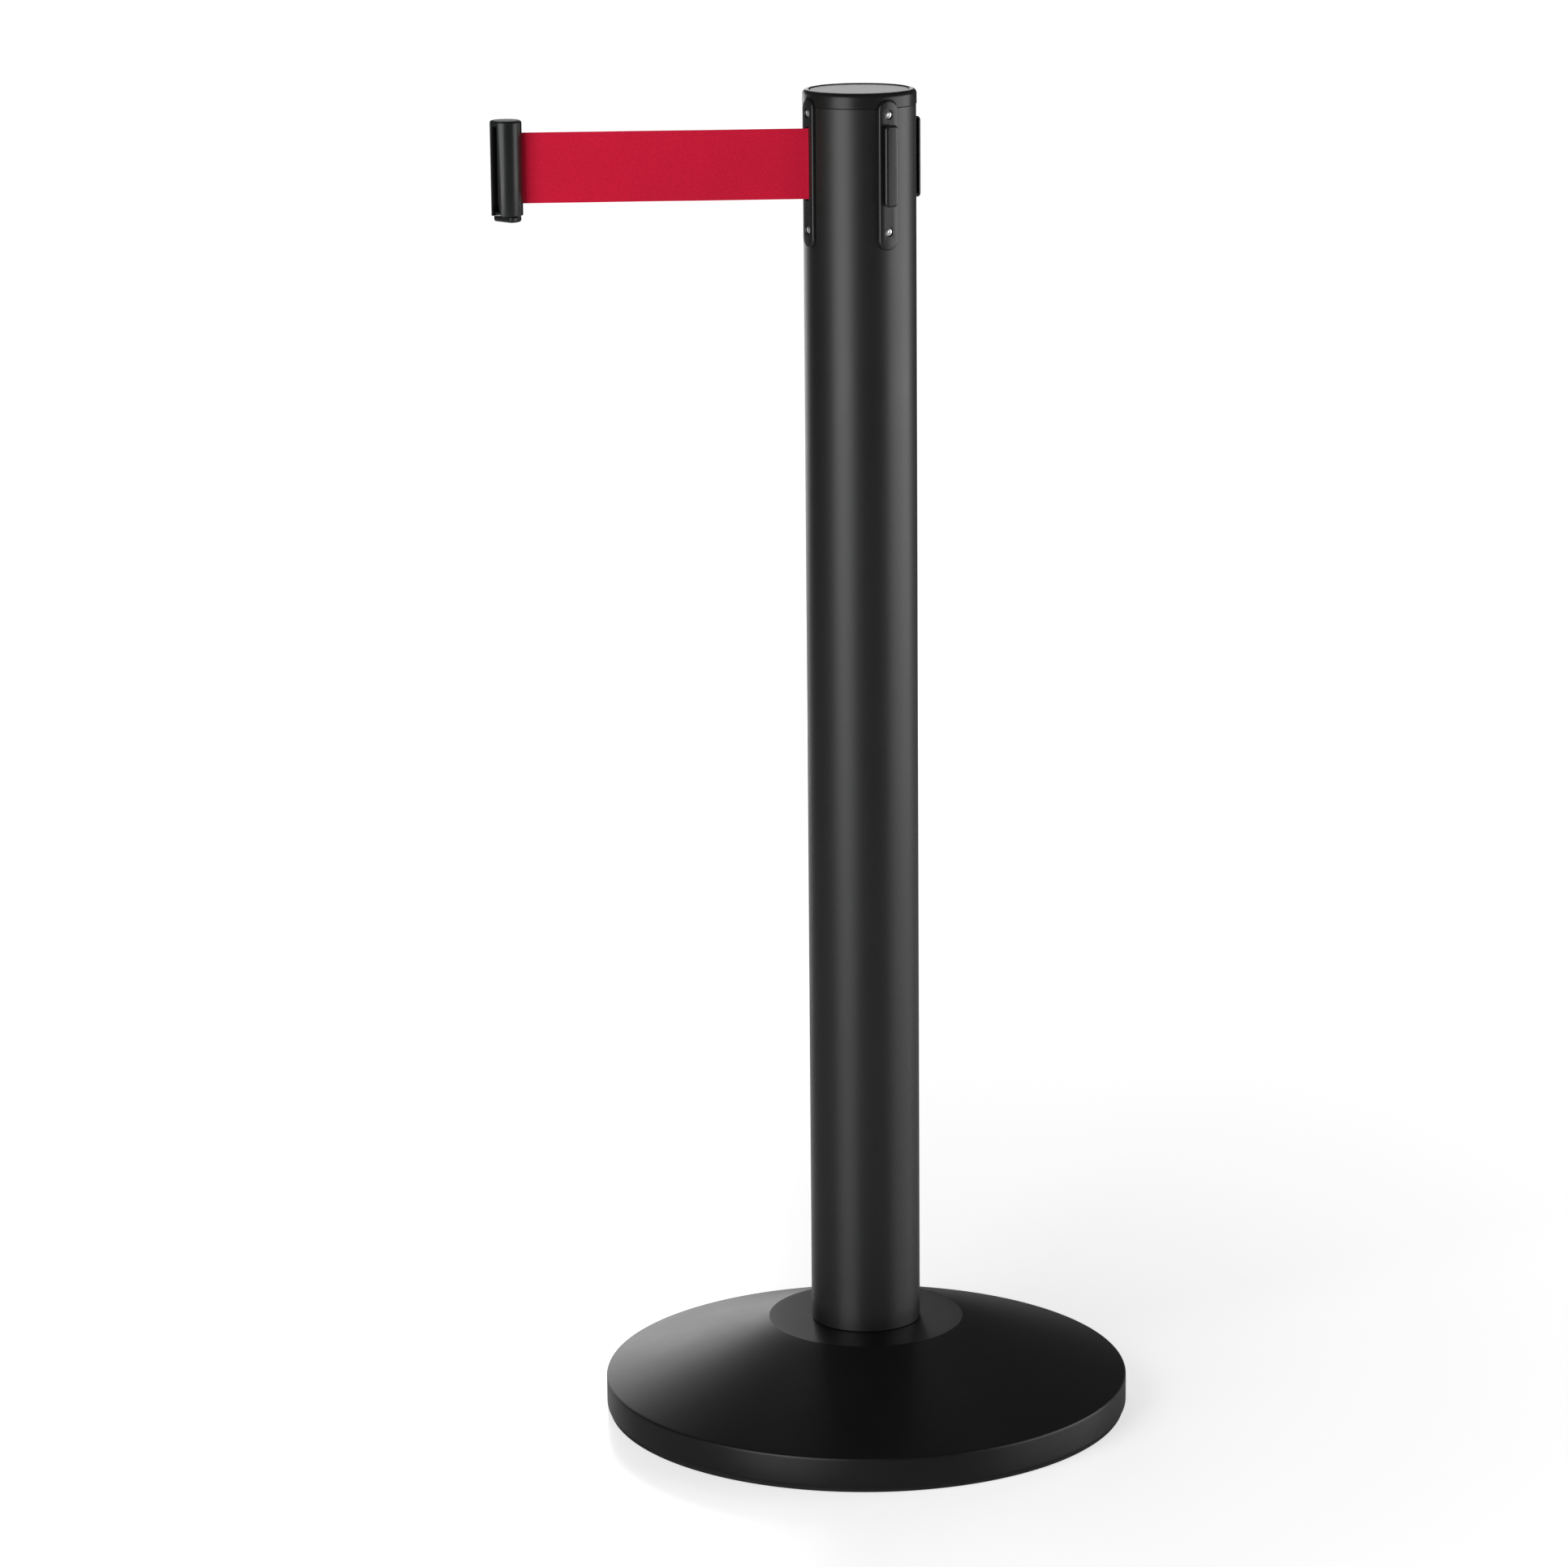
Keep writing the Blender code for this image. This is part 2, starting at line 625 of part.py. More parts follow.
def spindle(materials):
    """The fixed shaft, slit to hold the power spring's inner end, and the collar under the reel."""
    low = FRAME_BOTTOM_Z + 2 * MM + GAP
    high = FRAME_TOP_Z + 3.7 * MM - GAP
    rod = rod_profile(SPINDLE_RADIUS, low, high)
    shaft = turned("spindle", rod, materials["bright_steel"], SMALL_SEGMENTS)
    slit_low = BELT_Z - 19 * MM
    slit_high = BELT_Z + 19 * MM
    cut(shaft, box("spindle_slit", (-5 * MM, -0.6 * MM, slit_low), (5 * MM, 0.6 * MM, slit_high)))
    collar_low = FRAME_BOTTOM_Z + FRAME_PLATE_HEIGHT + GAP
    collar = ring_profile(SPINDLE_RADIUS + GAP, 6.3 * MM, collar_low, REEL_BOTTOM - GAP)
    turned("spindle_collar", collar, materials["brass"], SMALL_SEGMENTS)


def reel(materials):
    """The drum with its flanges, its lower cover and a bush at each end."""
    bush_hole = BUSH_OUTER + GAP
    drum_roof = REEL_TOP - FLANGE_THICKNESS - 1.6 * MM
    profile = [
        (bush_hole, REEL_TOP),
        (FLANGE_RADIUS, REEL_TOP),
        (FLANGE_RADIUS, REEL_TOP - FLANGE_THICKNESS),
        (DRUM_OUTER, REEL_TOP - FLANGE_THICKNESS),
        (DRUM_OUTER, REEL_BOTTOM + FLANGE_THICKNESS),
        (FLANGE_RADIUS, REEL_BOTTOM + FLANGE_THICKNESS),
        (FLANGE_RADIUS, REEL_BOTTOM),
        (DRUM_INNER, REEL_BOTTOM),
        (DRUM_INNER, drum_roof),
        (bush_hole, drum_roof),
    ]
    plastic = materials["black_plastic"]
    turned("reel", profile, plastic, REEL_SEGMENTS)
    cover_high = REEL_BOTTOM + 2.8 * MM
    cover = ring_profile(bush_hole, DRUM_INNER - GAP, REEL_BOTTOM, cover_high)
    turned("reel_cover", cover, plastic, REEL_SEGMENTS)
    bush_bore = SPINDLE_RADIUS + RUNNING_GAP
    for name, low, high in (
        ("bush_upper", drum_roof + 0.2 * MM, REEL_TOP - 0.2 * MM),
        ("bush_lower", REEL_BOTTOM, cover_high),
    ):
        turned(name, ring_profile(bush_bore, BUSH_OUTER, low, high), materials["brass"], SMALL_SEGMENTS)
    roll = ring_profile(ROLL_INNER, ROLL_OUTER, BELT_BOTTOM, BELT_TOP)
    turned("belt_roll", roll, materials["red_webbing"], REEL_SEGMENTS)


def power_spring(materials):
    """A flat spiral spring. Its inner end is hooked in the spindle's slit."""
    inner = 5.2 * MM
    outer = 13.2 * MM
    turns = 5
    steps_a_turn = 16
    path = [(1 * MM, 0.0), (4.6 * MM, 0.0)]
    count = turns * steps_a_turn
    for i in range(count + 1):
        radius = inner + (outer - inner) * i / count
        angle = math.radians(12) + math.tau * i / steps_a_turn
        path.append((radius * math.cos(angle), radius * math.sin(angle)))
    ribbon("power_spring", path, 0.5 * MM, BELT_Z - 17 * MM, BELT_Z + 17 * MM, materials["spring_steel"])


# ---------------------------------------------------------------- belt


def lead_path():
    """From the roll's outside, where it runs off at a tangent, to the outlet slot."""
    distance = OUTLET.xy.length
    half_angle = math.acos(LEAD_RADIUS / distance)
    leaving = math.pi + half_angle
    path = []
    for step in range(6, -1, -1):
        angle = leaving + math.radians(7 * step)
        path.append((LEAD_RADIUS * math.cos(angle), LEAD_RADIUS * math.sin(angle)))
    last = Vector(path[-1])
    end = OUTLET.xy + (last - OUTLET.xy).normalized() * GAP
    path.append((end.x, end.y))
    return path


def belt(materials):
    """The belt inside the head, its free run, and the sewn loop round the clip's pin."""
    red = materials["red_webbing"]
    ribbon("belt_lead", lead_path(), BELT_THICKNESS, BELT_BOTTOM, BELT_TOP, red)

    start = OUTLET + 0.5 * MM * RUN_DIRECTION
    end = PIN_PLACE - (LOOP_TAIL + GAP) * RUN_DIRECTION
    steps = 8
    run = [start.lerp(end, i / steps) for i in range(steps + 1)]
    ribbon("belt_run", [(p.x, p.y) for p in run], BELT_THICKNESS, BELT_BOTTOM, BELT_TOP, red)

    inner = PIN_RADIUS + GAP
    outer = inner + BELT_THICKNESS
    loop = turned("belt_loop", ring_profile(inner, outer, BELT_BOTTOM, BELT_TOP), red, SMALL_SEGMENTS)
    tail_low = (inner + GAP, -BELT_THICKNESS, BELT_BOTTOM)
    join(loop, box("loop_tail", tail_low, (LOOP_TAIL, BELT_THICKNESS, BELT_TOP)))
    axis = make_empty("belt_end_axis", PIN_PLACE.xy.to_3d(), RUN_AZIMUTH + math.pi)
    loop.parent = axis


# ---------------------------------------------------------------- end clip


def flattened_circle(radius, flat, inset, steps=30):
    """A circle about the clip's centre, cut straight at the height flat along X, inset all round."""
    radius = radius - inset
    corner = math.acos((flat - CLIP_CENTRE - inset) / radius)
    outline = []
    for step in range(steps + 1):
        angle = corner + (math.tau - 2 * corner) * step / steps
        outline.append((CLIP_CENTRE + radius * math.cos(angle), radius * math.sin(angle)))
    return outline


def clip_blank(material):
    levels = (
        (CLIP_BOTTOM, 0.6 * MM),
        (CLIP_BOTTOM + 0.6 * MM, 0.0),
        (CLIP_TOP - 1.5 * MM, 0.0),
        (CLIP_TOP - 0.5 * MM, 0.5 * MM),
        (CLIP_TOP, 1.6 * MM),
    )
    rings = [[(x, y, z) for x, y in flattened_circle(CLIP_RADIUS, CLIP_FLAT, inset)] for z, inset in levels]
    return lofted("clip_body", rings, material)


def channel_cutters():
    """The T-shaped channel, open at the bottom, with a flared lead-in at its mouth."""
    low = CLIP_BOTTOM - MM
    lip_back = CLIP_FLAT - LIP_THICKNESS
    half = CHANNEL_WIDTH / 2
    cavity = box("channel_cavity", (CHANNEL_BACK, -half, low), (lip_back, half, CHANNEL_TOP))
    half_mouth = MOUTH_WIDTH / 2
    outside = CLIP_FLAT + 2 * MM
    mouth = box("channel_mouth", (lip_back - MM, -half_mouth, low), (outside, half_mouth, CHANNEL_TOP))
    rings = []
    for z, y in ((low, 4.9 * MM), (CLIP_BOTTOM + 9 * MM, half_mouth)):
        near = lip_back - 0.5 * MM
        rings.append([(near, -y, z), (outside, -y, z), (outside, y, z), (near, y, z)])
    return cavity, mouth, lofted("channel_lead_in", rings)


def belt_pocket_cutters():
    """The round pocket for the loop and the flare that lets the clip swivel on the belt."""
    hollow = rod_profile(POCKET_RADIUS, POCKET_BOTTOM, POCKET_TOP)
    pocket = turned("loop_pocket", hollow, None, SMALL_SEGMENTS)
    apex = 2.2 * MM
    reach = 12 * MM
    spread = 13.2 * MM
    triangle = [(apex, 0.0), (apex - reach, spread), (apex - reach, -spread)]
    flare = lofted("belt_flare", [[(x, y, z) for x, y in triangle] for z in (POCKET_BOTTOM, POCKET_TOP)])
    hole = rod_profile(PIN_RADIUS + GAP, GROOVE_TOP - 0.5 * MM, PIN_HOLE_TOP)
    return pocket, flare, turned("pin_hole", hole, None, FASTENER_SEGMENTS, half_step=True)


def groove_cutters():
    """The undercut groove in the clip's foot that the lock slides in."""
    ledge = CLIP_BOTTOM + 0.9 * MM
    front = CHANNEL_BACK + 0.5 * MM
    neck = box("groove_neck", (GROOVE_BACK, -2 * MM, CLIP_BOTTOM - MM), (front, 2 * MM, ledge + 0.5 * MM))
    head = box("groove_head", (GROOVE_BACK, -3.5 * MM, ledge), (front, 3.5 * MM, GROOVE_TOP))
    return neck, head


def clip(materials):
    """The end clip's body, the pin that the belt's loop turns on, the lock and its spring."""
    body = clip_blank(materials["black_plastic"])
    cut(body, *channel_cutters(), *belt_pocket_cutters(), *groove_cutters())

    rod = rod_profile(PIN_RADIUS, GROOVE_TOP + GAP, PIN_HOLE_TOP - GAP)
    pin = turned("clip_pin", rod, materials["bright_steel"], FASTENER_SEGMENTS)

    rings = []
    for z, inset in (
        (LOCK_BOTTOM, 0.8 * MM),
        (LOCK_BOTTOM + 0.8 * MM, 0.0),
        (LOCK_BOTTOM + LOCK_THICKNESS, 0.0),
    ):
        rings.append([(x, y, z) for x, y in flattened_circle(LOCK_RADIUS, LOCK_FLAT, inset, 24)])
    lock = lofted("clip_lock", rings, materials["black_plastic"])
    rib_ledge = CLIP_BOTTOM + 1.2 * MM
    rib_top = GROOVE_TOP - GAP
    rib_low = LOCK_BOTTOM + LOCK_THICKNESS - 0.5 * MM
    rib_neck = box("rib_neck", (RIB_BACK, -1.7 * MM, rib_low), (RIB_FRONT, 1.7 * MM, rib_ledge + 0.2 * MM))
    rib_head = box("rib_head", (RIB_BACK, -3.2 * MM, rib_ledge), (TONGUE_FRONT, 3.2 * MM, rib_top))
    join(lock, rib_neck, rib_head)

    spring = lock_spring(materials["spring_steel"], (rib_ledge + rib_top) / 2)
    axis = make_empty("clip_swivel_axis", PIN_PLACE.xy.to_3d(), CLIP_AZIMUTH)
    for piece in (body, pin, lock, spring):
        piece.parent = axis


def lock_spring(material, height):
    """A small coil spring between the lock's rib and the end of the groove."""
    front = RIB_BACK - GAP
    back = GROOVE_BACK + GAP
    turns = 4
    steps_a_turn = 8
    wire_radius = 0.14 * MM
    coil_radius = 0.42 * MM
    curve = bpy.data.curves.new("lock_spring", "CURVE")
    curve.dimensions = "3D"
    curve.bevel_depth = wire_radius
    curve.bevel_resolution = 1
    curve.use_fill_caps = True
    count = turns * steps_a_turn
    spline = curve.splines.new("POLY")
    spline.points.add(count)
    for i, point in enumerate(spline.points):
        angle = math.tau * i / steps_a_turn
        x = front - wire_radius + (back - front + 2 * wire_radius) * i / count
        point.co = (x, coil_radius * math.cos(angle), height + coil_radius * math.sin(angle), 1.0)
    curve.materials.append(material)
    spring = bpy.data.objects.new("lock_spring", curve)
    bpy.context.scene.collection.objects.link(spring)
    return spring


def main():
    clear_scene()
    materials = make_materials()
    base_cover(materials)
    base_weight(materials)
    floor_ring(materials)
    base_fasteners(materials)
    post_tube(materials)
    top_cap(materials)
    outlet_plate(materials)
    for number in (1, 2, 3):
        receiver_plate(f"receiver_plate_{number}", materials)
    plate_screws(materials)
    cassette_frame(materials)
    spindle(materials)
    reel(materials)
    power_spring(materials)
    belt(materials)
    clip(materials)


main()
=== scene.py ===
"""The looks of the retractable belt stanchion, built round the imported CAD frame."""

import json
import math

import bmesh
import bpy
from mathutils import Matrix, Vector


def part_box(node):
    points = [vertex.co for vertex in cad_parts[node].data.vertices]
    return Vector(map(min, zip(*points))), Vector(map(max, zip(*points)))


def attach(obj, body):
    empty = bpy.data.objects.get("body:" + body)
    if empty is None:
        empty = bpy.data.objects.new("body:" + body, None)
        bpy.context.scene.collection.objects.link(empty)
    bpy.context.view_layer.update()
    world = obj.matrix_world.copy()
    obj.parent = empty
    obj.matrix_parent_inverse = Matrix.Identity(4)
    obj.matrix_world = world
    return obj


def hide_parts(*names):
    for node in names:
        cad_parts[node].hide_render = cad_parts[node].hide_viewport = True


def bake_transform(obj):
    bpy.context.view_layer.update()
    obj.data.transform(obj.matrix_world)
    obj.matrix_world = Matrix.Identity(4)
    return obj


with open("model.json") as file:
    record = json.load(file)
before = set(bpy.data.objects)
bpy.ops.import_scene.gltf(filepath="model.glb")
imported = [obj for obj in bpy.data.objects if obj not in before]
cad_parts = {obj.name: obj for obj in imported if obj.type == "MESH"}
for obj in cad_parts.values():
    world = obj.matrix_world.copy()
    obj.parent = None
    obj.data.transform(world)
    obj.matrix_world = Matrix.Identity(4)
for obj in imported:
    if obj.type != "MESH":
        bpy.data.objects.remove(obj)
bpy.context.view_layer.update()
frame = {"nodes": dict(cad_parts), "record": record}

MM = 0.001
JOINTS = {joint["name"]: joint for joint in frame["record"]["behaviour"]["joints"]}

# ---------------------------------------------------------------- places read from the frame


def radius_of(node):
    low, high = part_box(node)
    return (high.x - low.x) / 2


TUBE_LOW, TUBE_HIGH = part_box("post_tube")
CAP_LOW, CAP_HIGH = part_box("top_cap")
COVER_LOW, COVER_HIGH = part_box("base_cover")
RING_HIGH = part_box("floor_ring")[1]
WEIGHT_LOW, WEIGHT_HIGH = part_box("base_weight")
DISC_LOW, DISC_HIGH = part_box("cap_disc")
PLATE_LOW, PLATE_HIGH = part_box("receiver_plate_2")
BELT_LOW, BELT_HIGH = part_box("belt_run")
ROLL_LOW, ROLL_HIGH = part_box("belt_roll")
CLIP_LOW, CLIP_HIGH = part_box("clip_body")
LOCK_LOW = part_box("clip_lock")[0]
PIN_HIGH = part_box("clip_pin")[1]

TUBE_RADIUS = radius_of("post_tube")
TUBE_WALL = 1.5 * MM
SEAM_Z = TUBE_HIGH.z - 1.3 * MM
CAP_RADIUS = radius_of("top_cap")
BASE_RADIUS = radius_of("base_cover")
PLATEAU_RADIUS = 69 * MM
RIM_TOP = 24.5 * MM
PLATE_FACE = 40 * MM
RAIL_FACE = PLATE_HIGH.x
PLATE_CENTRE_Z = (PLATE_LOW.z + PLATE_HIGH.z) / 2
PLATE_SIZE = (PLATE_HIGH.y - PLATE_LOW.y, PLATE_HIGH.z - PLATE_LOW.z)
SCREW_Z = [sum(corner.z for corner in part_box(f"plate_screw_{i}")) / 2 for i in (1, 2)]
SCREW_SEAT = 38.8 * MM
BELT_Z = (BELT_LOW.z + BELT_HIGH.z) / 2
BELT_WIDTH = BELT_HIGH.z - BELT_LOW.z
BELT_AXIS = Vector(JOINTS["belt_pull"]["axis"])
PIN = Vector((*JOINTS["clip_swivel"]["pos_m"][:2], 0.0))
CLIP_FACING = -Vector(JOINTS["lock_slide"]["axis"])
CLIP_AZIMUTH = math.atan2(CLIP_FACING.y, CLIP_FACING.x)
OUTLET = Vector((-39.2 * MM, 0.0, 0.0))
PLATE_AZIMUTHS = {
    "outlet_plate": math.pi,
    "receiver_plate_1": -math.pi / 2,
    "receiver_plate_2": 0.0,
    "receiver_plate_3": math.pi / 2,
}

# ---------------------------------------------------------------- shape helpers


def shade(obj, angle=30):
    obj.data.shade_smooth()
    obj.data.set_sharp_from_angle(angle=math.radians(angle))


def link(name, mesh, material=None):
    obj = bpy.data.objects.new(name, mesh)
    bpy.context.scene.collection.objects.link(obj)
    if material is not None:
        mesh.materials.append(material)
    return obj


def from_bmesh(name, bm, material=None):
    bmesh.ops.recalc_face_normals(bm, faces=bm.faces)
    mesh = bpy.data.meshes.new(name)
    bm.to_mesh(mesh)
    bm.free()
    obj = link(name, mesh, material)
    shade(obj)
    return obj


def turned(name, profile, material=None, segments=128, half_step=False):
    """Turns a profile of (radius, height) points about the Z axis. Its ends may lie on the axis."""
    bm = bmesh.new()
    phase = math.pi / segments if half_step else 0.0
    along_x, along_y = math.cos(phase), math.sin(phase)
    points = [bm.verts.new((radius * along_x, radius * along_y, height)) for radius, height in profile]
    on_axis = profile[0][0] == 0 and profile[-1][0] == 0
    pairs = zip(points, points[1:]) if on_axis else zip(points, points[1:] + points[:1])
    edges = [bm.edges.new(pair) for pair in pairs]
    bmesh.ops.spin(
        bm,
        geom=points + edges,
        cent=(0.0, 0.0, 0.0),
        axis=(0.0, 0.0, 1.0),
        angle=math.tau,
        steps=segments,
        use_merge=True,
    )
    bmesh.ops.remove_doubles(bm, verts=bm.verts, dist=0.001 * MM)
    return from_bmesh(name, bm, material)


def lofted(name, rings, material=None):
    """Skins rings of equally many points, one after the other, and closes both ends."""
    bm = bmesh.new()
    loops = [[bm.verts.new(point) for point in ring] for ring in rings]
    for first, second in zip(loops, loops[1:]):
        for i in range(len(first)):
            bm.faces.new((first[i - 1], first[i], second[i], second[i - 1]))
    bm.faces.new(loops[0])
    bm.faces.new(loops[-1])
    return from_bmesh(name, bm, material)


def rod(radius, low, high):
    return [(0, low), (radius, low), (radius, high), (0, high)]


def arc(centre, radius, start, end, steps):
    """Points of an arc, in degrees, both ends included."""
    points = []
    for i in range(steps + 1):
        angle = math.radians(start + (end - start) * i / steps)
        points.append((centre[0] + radius * math.cos(angle), centre[1] + radius * math.sin(angle)))
    return points


def rounded_outline(width, height, radius, steps=8):
    outline = []
    for corner in range(4):
        side_x = 1 if corner in (0, 3) else -1
        side_y = 1 if corner in (0, 1) else -1
        centre = (side_x * (width / 2 - radius), side_y * (height / 2 - radius))
        outline += arc(centre, radius, corner * 90, corner * 90 + 90, steps)
    return [point for i, point in enumerate(outline) if math.dist(point, outline[i - 1]) > 0.001 * MM]


def upright_slab(name, sections, centre_z, material=None):
    """Lofts (x, outline) sections whose outlines lie in the YZ plane, about the height centre_z."""
    rings = [[(x, y, centre_z + z) for y, z in outline] for x, outline in sections]
    return lofted(name, rings, material)


def box(name, low, high):
    outline = [(low[0], low[1]), (high[0], low[1]), (high[0], high[1]), (low[0], high[1])]
    return lofted(name, [[(x, y, z) for x, y in outline] for z in (low[2], high[2])])


def radial(obj, height, azimuth):
    """Turns an upright piece so that its axis points away from the post's axis."""
    obj.rotation_euler = (0.0, math.pi / 2, azimuth)
    obj.location.z = height
    return obj


def bake_modifiers(obj):
    graph = bpy.context.evaluated_depsgraph_get()
    mesh = bpy.data.meshes.new_from_object(obj.evaluated_get(graph))
    obj.modifiers.clear()
    old = obj.data
    obj.data = mesh
    mesh.name = obj.name
    bpy.data.meshes.remove(old)


def carve(obj, cutters, operation="DIFFERENCE"):
    """Cuts the pieces out of obj, or joins them to it, and removes them."""
    for cutter in cutters:
        modifier = obj.modifiers.new(cutter.name, "BOOLEAN")
        modifier.operation = operation
        modifier.solver = "EXACT"
        modifier.object = cutter
    bpy.context.view_layer.update()
    bake_modifiers(obj)
    for cutter in cutters:
        bpy.data.objects.remove(cutter, do_unlink=True)
    shade(obj)


def soften(obj, width, segments=2, angle=38):
    """Rounds the edges that are sharper than the angle, as a moulding or a press leaves them."""
    bm = bmesh.new()
    bm.from_mesh(obj.data)
    bmesh.ops.remove_doubles(bm, verts=bm.verts, dist=0.004 * MM)
    bmesh.ops.dissolve_limit(bm, angle_limit=math.radians(0.5), verts=bm.verts, edges=bm.edges)
    bm.to_mesh(obj.data)
    bm.free()
    modifier = obj.modifiers.new("soft_edges", "BEVEL")
    modifier.width = width
    modifier.segments = segments
    modifier.limit_method = "ANGLE"
    modifier.angle_limit = math.radians(angle)
    modifier.use_clamp_overlap = True
    bake_modifiers(obj)
    shade(obj, 50)


def stand_in(obj, body, slot, *nodes):
    """Rides the piece on its body and hides the CAD nodes that it stands for. The slot is not used."""
    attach(obj, body)
    if nodes:
        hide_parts(*nodes)


# ---------------------------------------------------------------- materials


class Nodes:
    """A short way to add and join shader nodes."""

    def __init__(self, name):
        self.material = bpy.data.materials.new(name)
        self.material.use_nodes = True
        self.tree = self.material.node_tree
        self.shader = self.tree.nodes["Principled BSDF"]
        self.coords = self.tree.nodes.new("ShaderNodeTexCoord").outputs["Object"]

    def add(self, kind, inputs=(), **settings):
        node = self.tree.nodes.new(kind)
        for key, value in settings.items():
            setattr(node, key, value)
        for socket, value in dict(inputs).items():
            if isinstance(value, bpy.types.NodeSocket):
                self.tree.links.new(value, node.inputs[socket])
            else:
                node.inputs[socket].default_value = value
        return node

    def math(self, operation, *values):
        return self.add("ShaderNodeMath", enumerate(values), operation=operation).outputs[0]

    def noise(self, scale, detail=2.0, roughness=0.5, vector=None):
        inputs = {"Vector": vector or self.coords, "Scale": scale, "Detail": detail, "Roughness": roughness}
        return self.add("ShaderNodeTexNoise", inputs).outputs["Fac"]

    def spread(self, value, low, high, start=0.3, end=0.7):
        inputs = {"Value": value, "From Min": start, "From Max": end, "To Min": low, "To Max": high}
        return self.add("ShaderNodeMapRange", inputs).outputs["Result"]

    def blend(self, factor, first, second):
        """Mixes two colours. Sockets 6 and 7 and output 2 are the node's colour ones."""
        node = self.add("ShaderNodeMix", data_type="RGBA")
        self.tree.links.new(factor, node.inputs["Factor"])
        node.inputs[6].default_value = (*first, 1.0)
        node.inputs[7].default_value = (*second, 1.0)
        return node.outputs[2]

    def bump(self, height, distance, strength=1.0, normal=None):
        inputs = {"Height": height, "Distance": distance, "Strength": strength}
        if normal is not None:
            inputs["Normal"] = normal
        return self.add("ShaderNodeBump", inputs).outputs["Normal"]

    def drive(self, **sockets):
        for name, value in sockets.items():
            self.tree.links.new(value, self.shader.inputs[name.replace("_", " ")])

    def fix(self, **sockets):
        for name, value in sockets.items():
            self.shader.inputs[name.replace("_", " ")].default_value = value


def scaled(colour, factor):
    return tuple(channel * factor for channel in colour)


def painted(name, colour, roughness, specular=0.5, peel=0.00002, dust=(0.06, 0.06, 0.057), dust_share=0.03):
    """Powder coat: a fine orange peel, faint cloudiness in the gloss and a trace of dust."""
    n = Nodes(name)
    clouds = n.noise(9.0, 4.0, 0.6)
    fine = n.noise(900.0, 2.0, 0.45)
    specks = n.noise(2600.0, 1.0, 0.6)
    dusty = n.math("MULTIPLY", n.spread(n.noise(38.0, 6.0, 0.7), 0.0, 1.0, 0.45, 0.8), dust_share)
    base = n.blend(dusty, colour, dust)
    n.drive(Base_Color=base)
    mottle = n.math("MULTIPLY_ADD", specks, 0.35, clouds)
    n.drive(Roughness=n.spread(mottle, roughness - 0.035, roughness + 0.045))
    peel_normal = n.bump(fine, peel, 0.5)
    n.drive(Normal=n.bump(specks, peel * 0.3, 0.4, peel_normal))
    n.fix(Specular_IOR_Level=specular)
    return n.material


def moulded(name, colour, roughness, grain=0.000016, specular=0.5):
    """Injection-moulded plastic with a fine spark-eroded grain."""
    n = Nodes(name)
    grain_noise = n.noise(2100.0, 3.0, 0.55)
    clouds = n.noise(26.0, 3.0, 0.5)
    rubbed = n.spread(n.noise(60.0, 8.0, 0.7), 0.0, 0.35, 0.5, 0.85)
    n.drive(Base_Color=n.blend(rubbed, colour, scaled(colour, 1.5)))
    n.drive(Roughness=n.spread(clouds, roughness - 0.04, roughness + 0.05))
    n.drive(Normal=n.bump(grain_noise, grain, 0.6))
    n.fix(Specular_IOR_Level=specular)
    return n.material


def metal(name, colour, roughness, scratch=0.000006, stretch=(1.0, 1.0, 14.0)):
    """Plated or drawn metal: fine lines along one direction and a little staining."""
    n = Nodes(name)
    mapping = n.add("ShaderNodeMapping", {"Vector": n.coords, "Scale": stretch}).outputs[0]
    lines = n.noise(700.0, 3.0, 0.6, mapping)
    stains = n.noise(70.0, 5.0, 0.6)
    n.drive(Base_Color=n.blend(n.spread(stains, 0.0, 1.0), colour, scaled(colour, 0.8)))
    n.drive(Roughness=n.spread(lines, roughness - 0.06, roughness + 0.10))
    n.drive(Normal=n.bump(lines, scratch, 0.7))
    n.fix(Metallic=1.0)
    return n.material


def cast(name, colour, roughness):
    """Sand-cast iron under a thin black wash."""
    n = Nodes(name)
    coarse = n.noise(240.0, 6.0, 0.65)
    pits = n.add("ShaderNodeTexVoronoi", {"Vector": n.coords, "Scale": 420.0}).outputs["Distance"]
    rusty = n.spread(n.noise(30.0, 8.0, 0.7), 0.0, 1.0, 0.56, 0.75)
    n.drive(Base_Color=n.blend(rusty, colour, (0.10, 0.055, 0.035)))
    n.drive(Roughness=n.spread(coarse, roughness - 0.1, roughness + 0.1))
    n.drive(Normal=n.bump(pits, 0.0001, 0.5, n.bump(coarse, 0.0003, 0.8)))
    return n.material


def rubbery(name, colour, roughness):
    """Matt rubber or thread: a fine rough surface with chalky patches."""
    n = Nodes(name)
    fine = n.noise(1500.0, 4.0, 0.6)
    chalky = n.spread(n.noise(45.0, 6.0, 0.7), 0.0, 0.5, 0.5, 0.8)
    n.drive(Base_Color=n.blend(chalky, colour, scaled(colour, 2.2)))
    n.drive(Roughness=n.spread(fine, roughness - 0.08, roughness + 0.06))
    n.drive(Normal=n.bump(fine, 0.00004, 0.7))
    n.fix(Specular_IOR_Level=0.3)
    return n.material


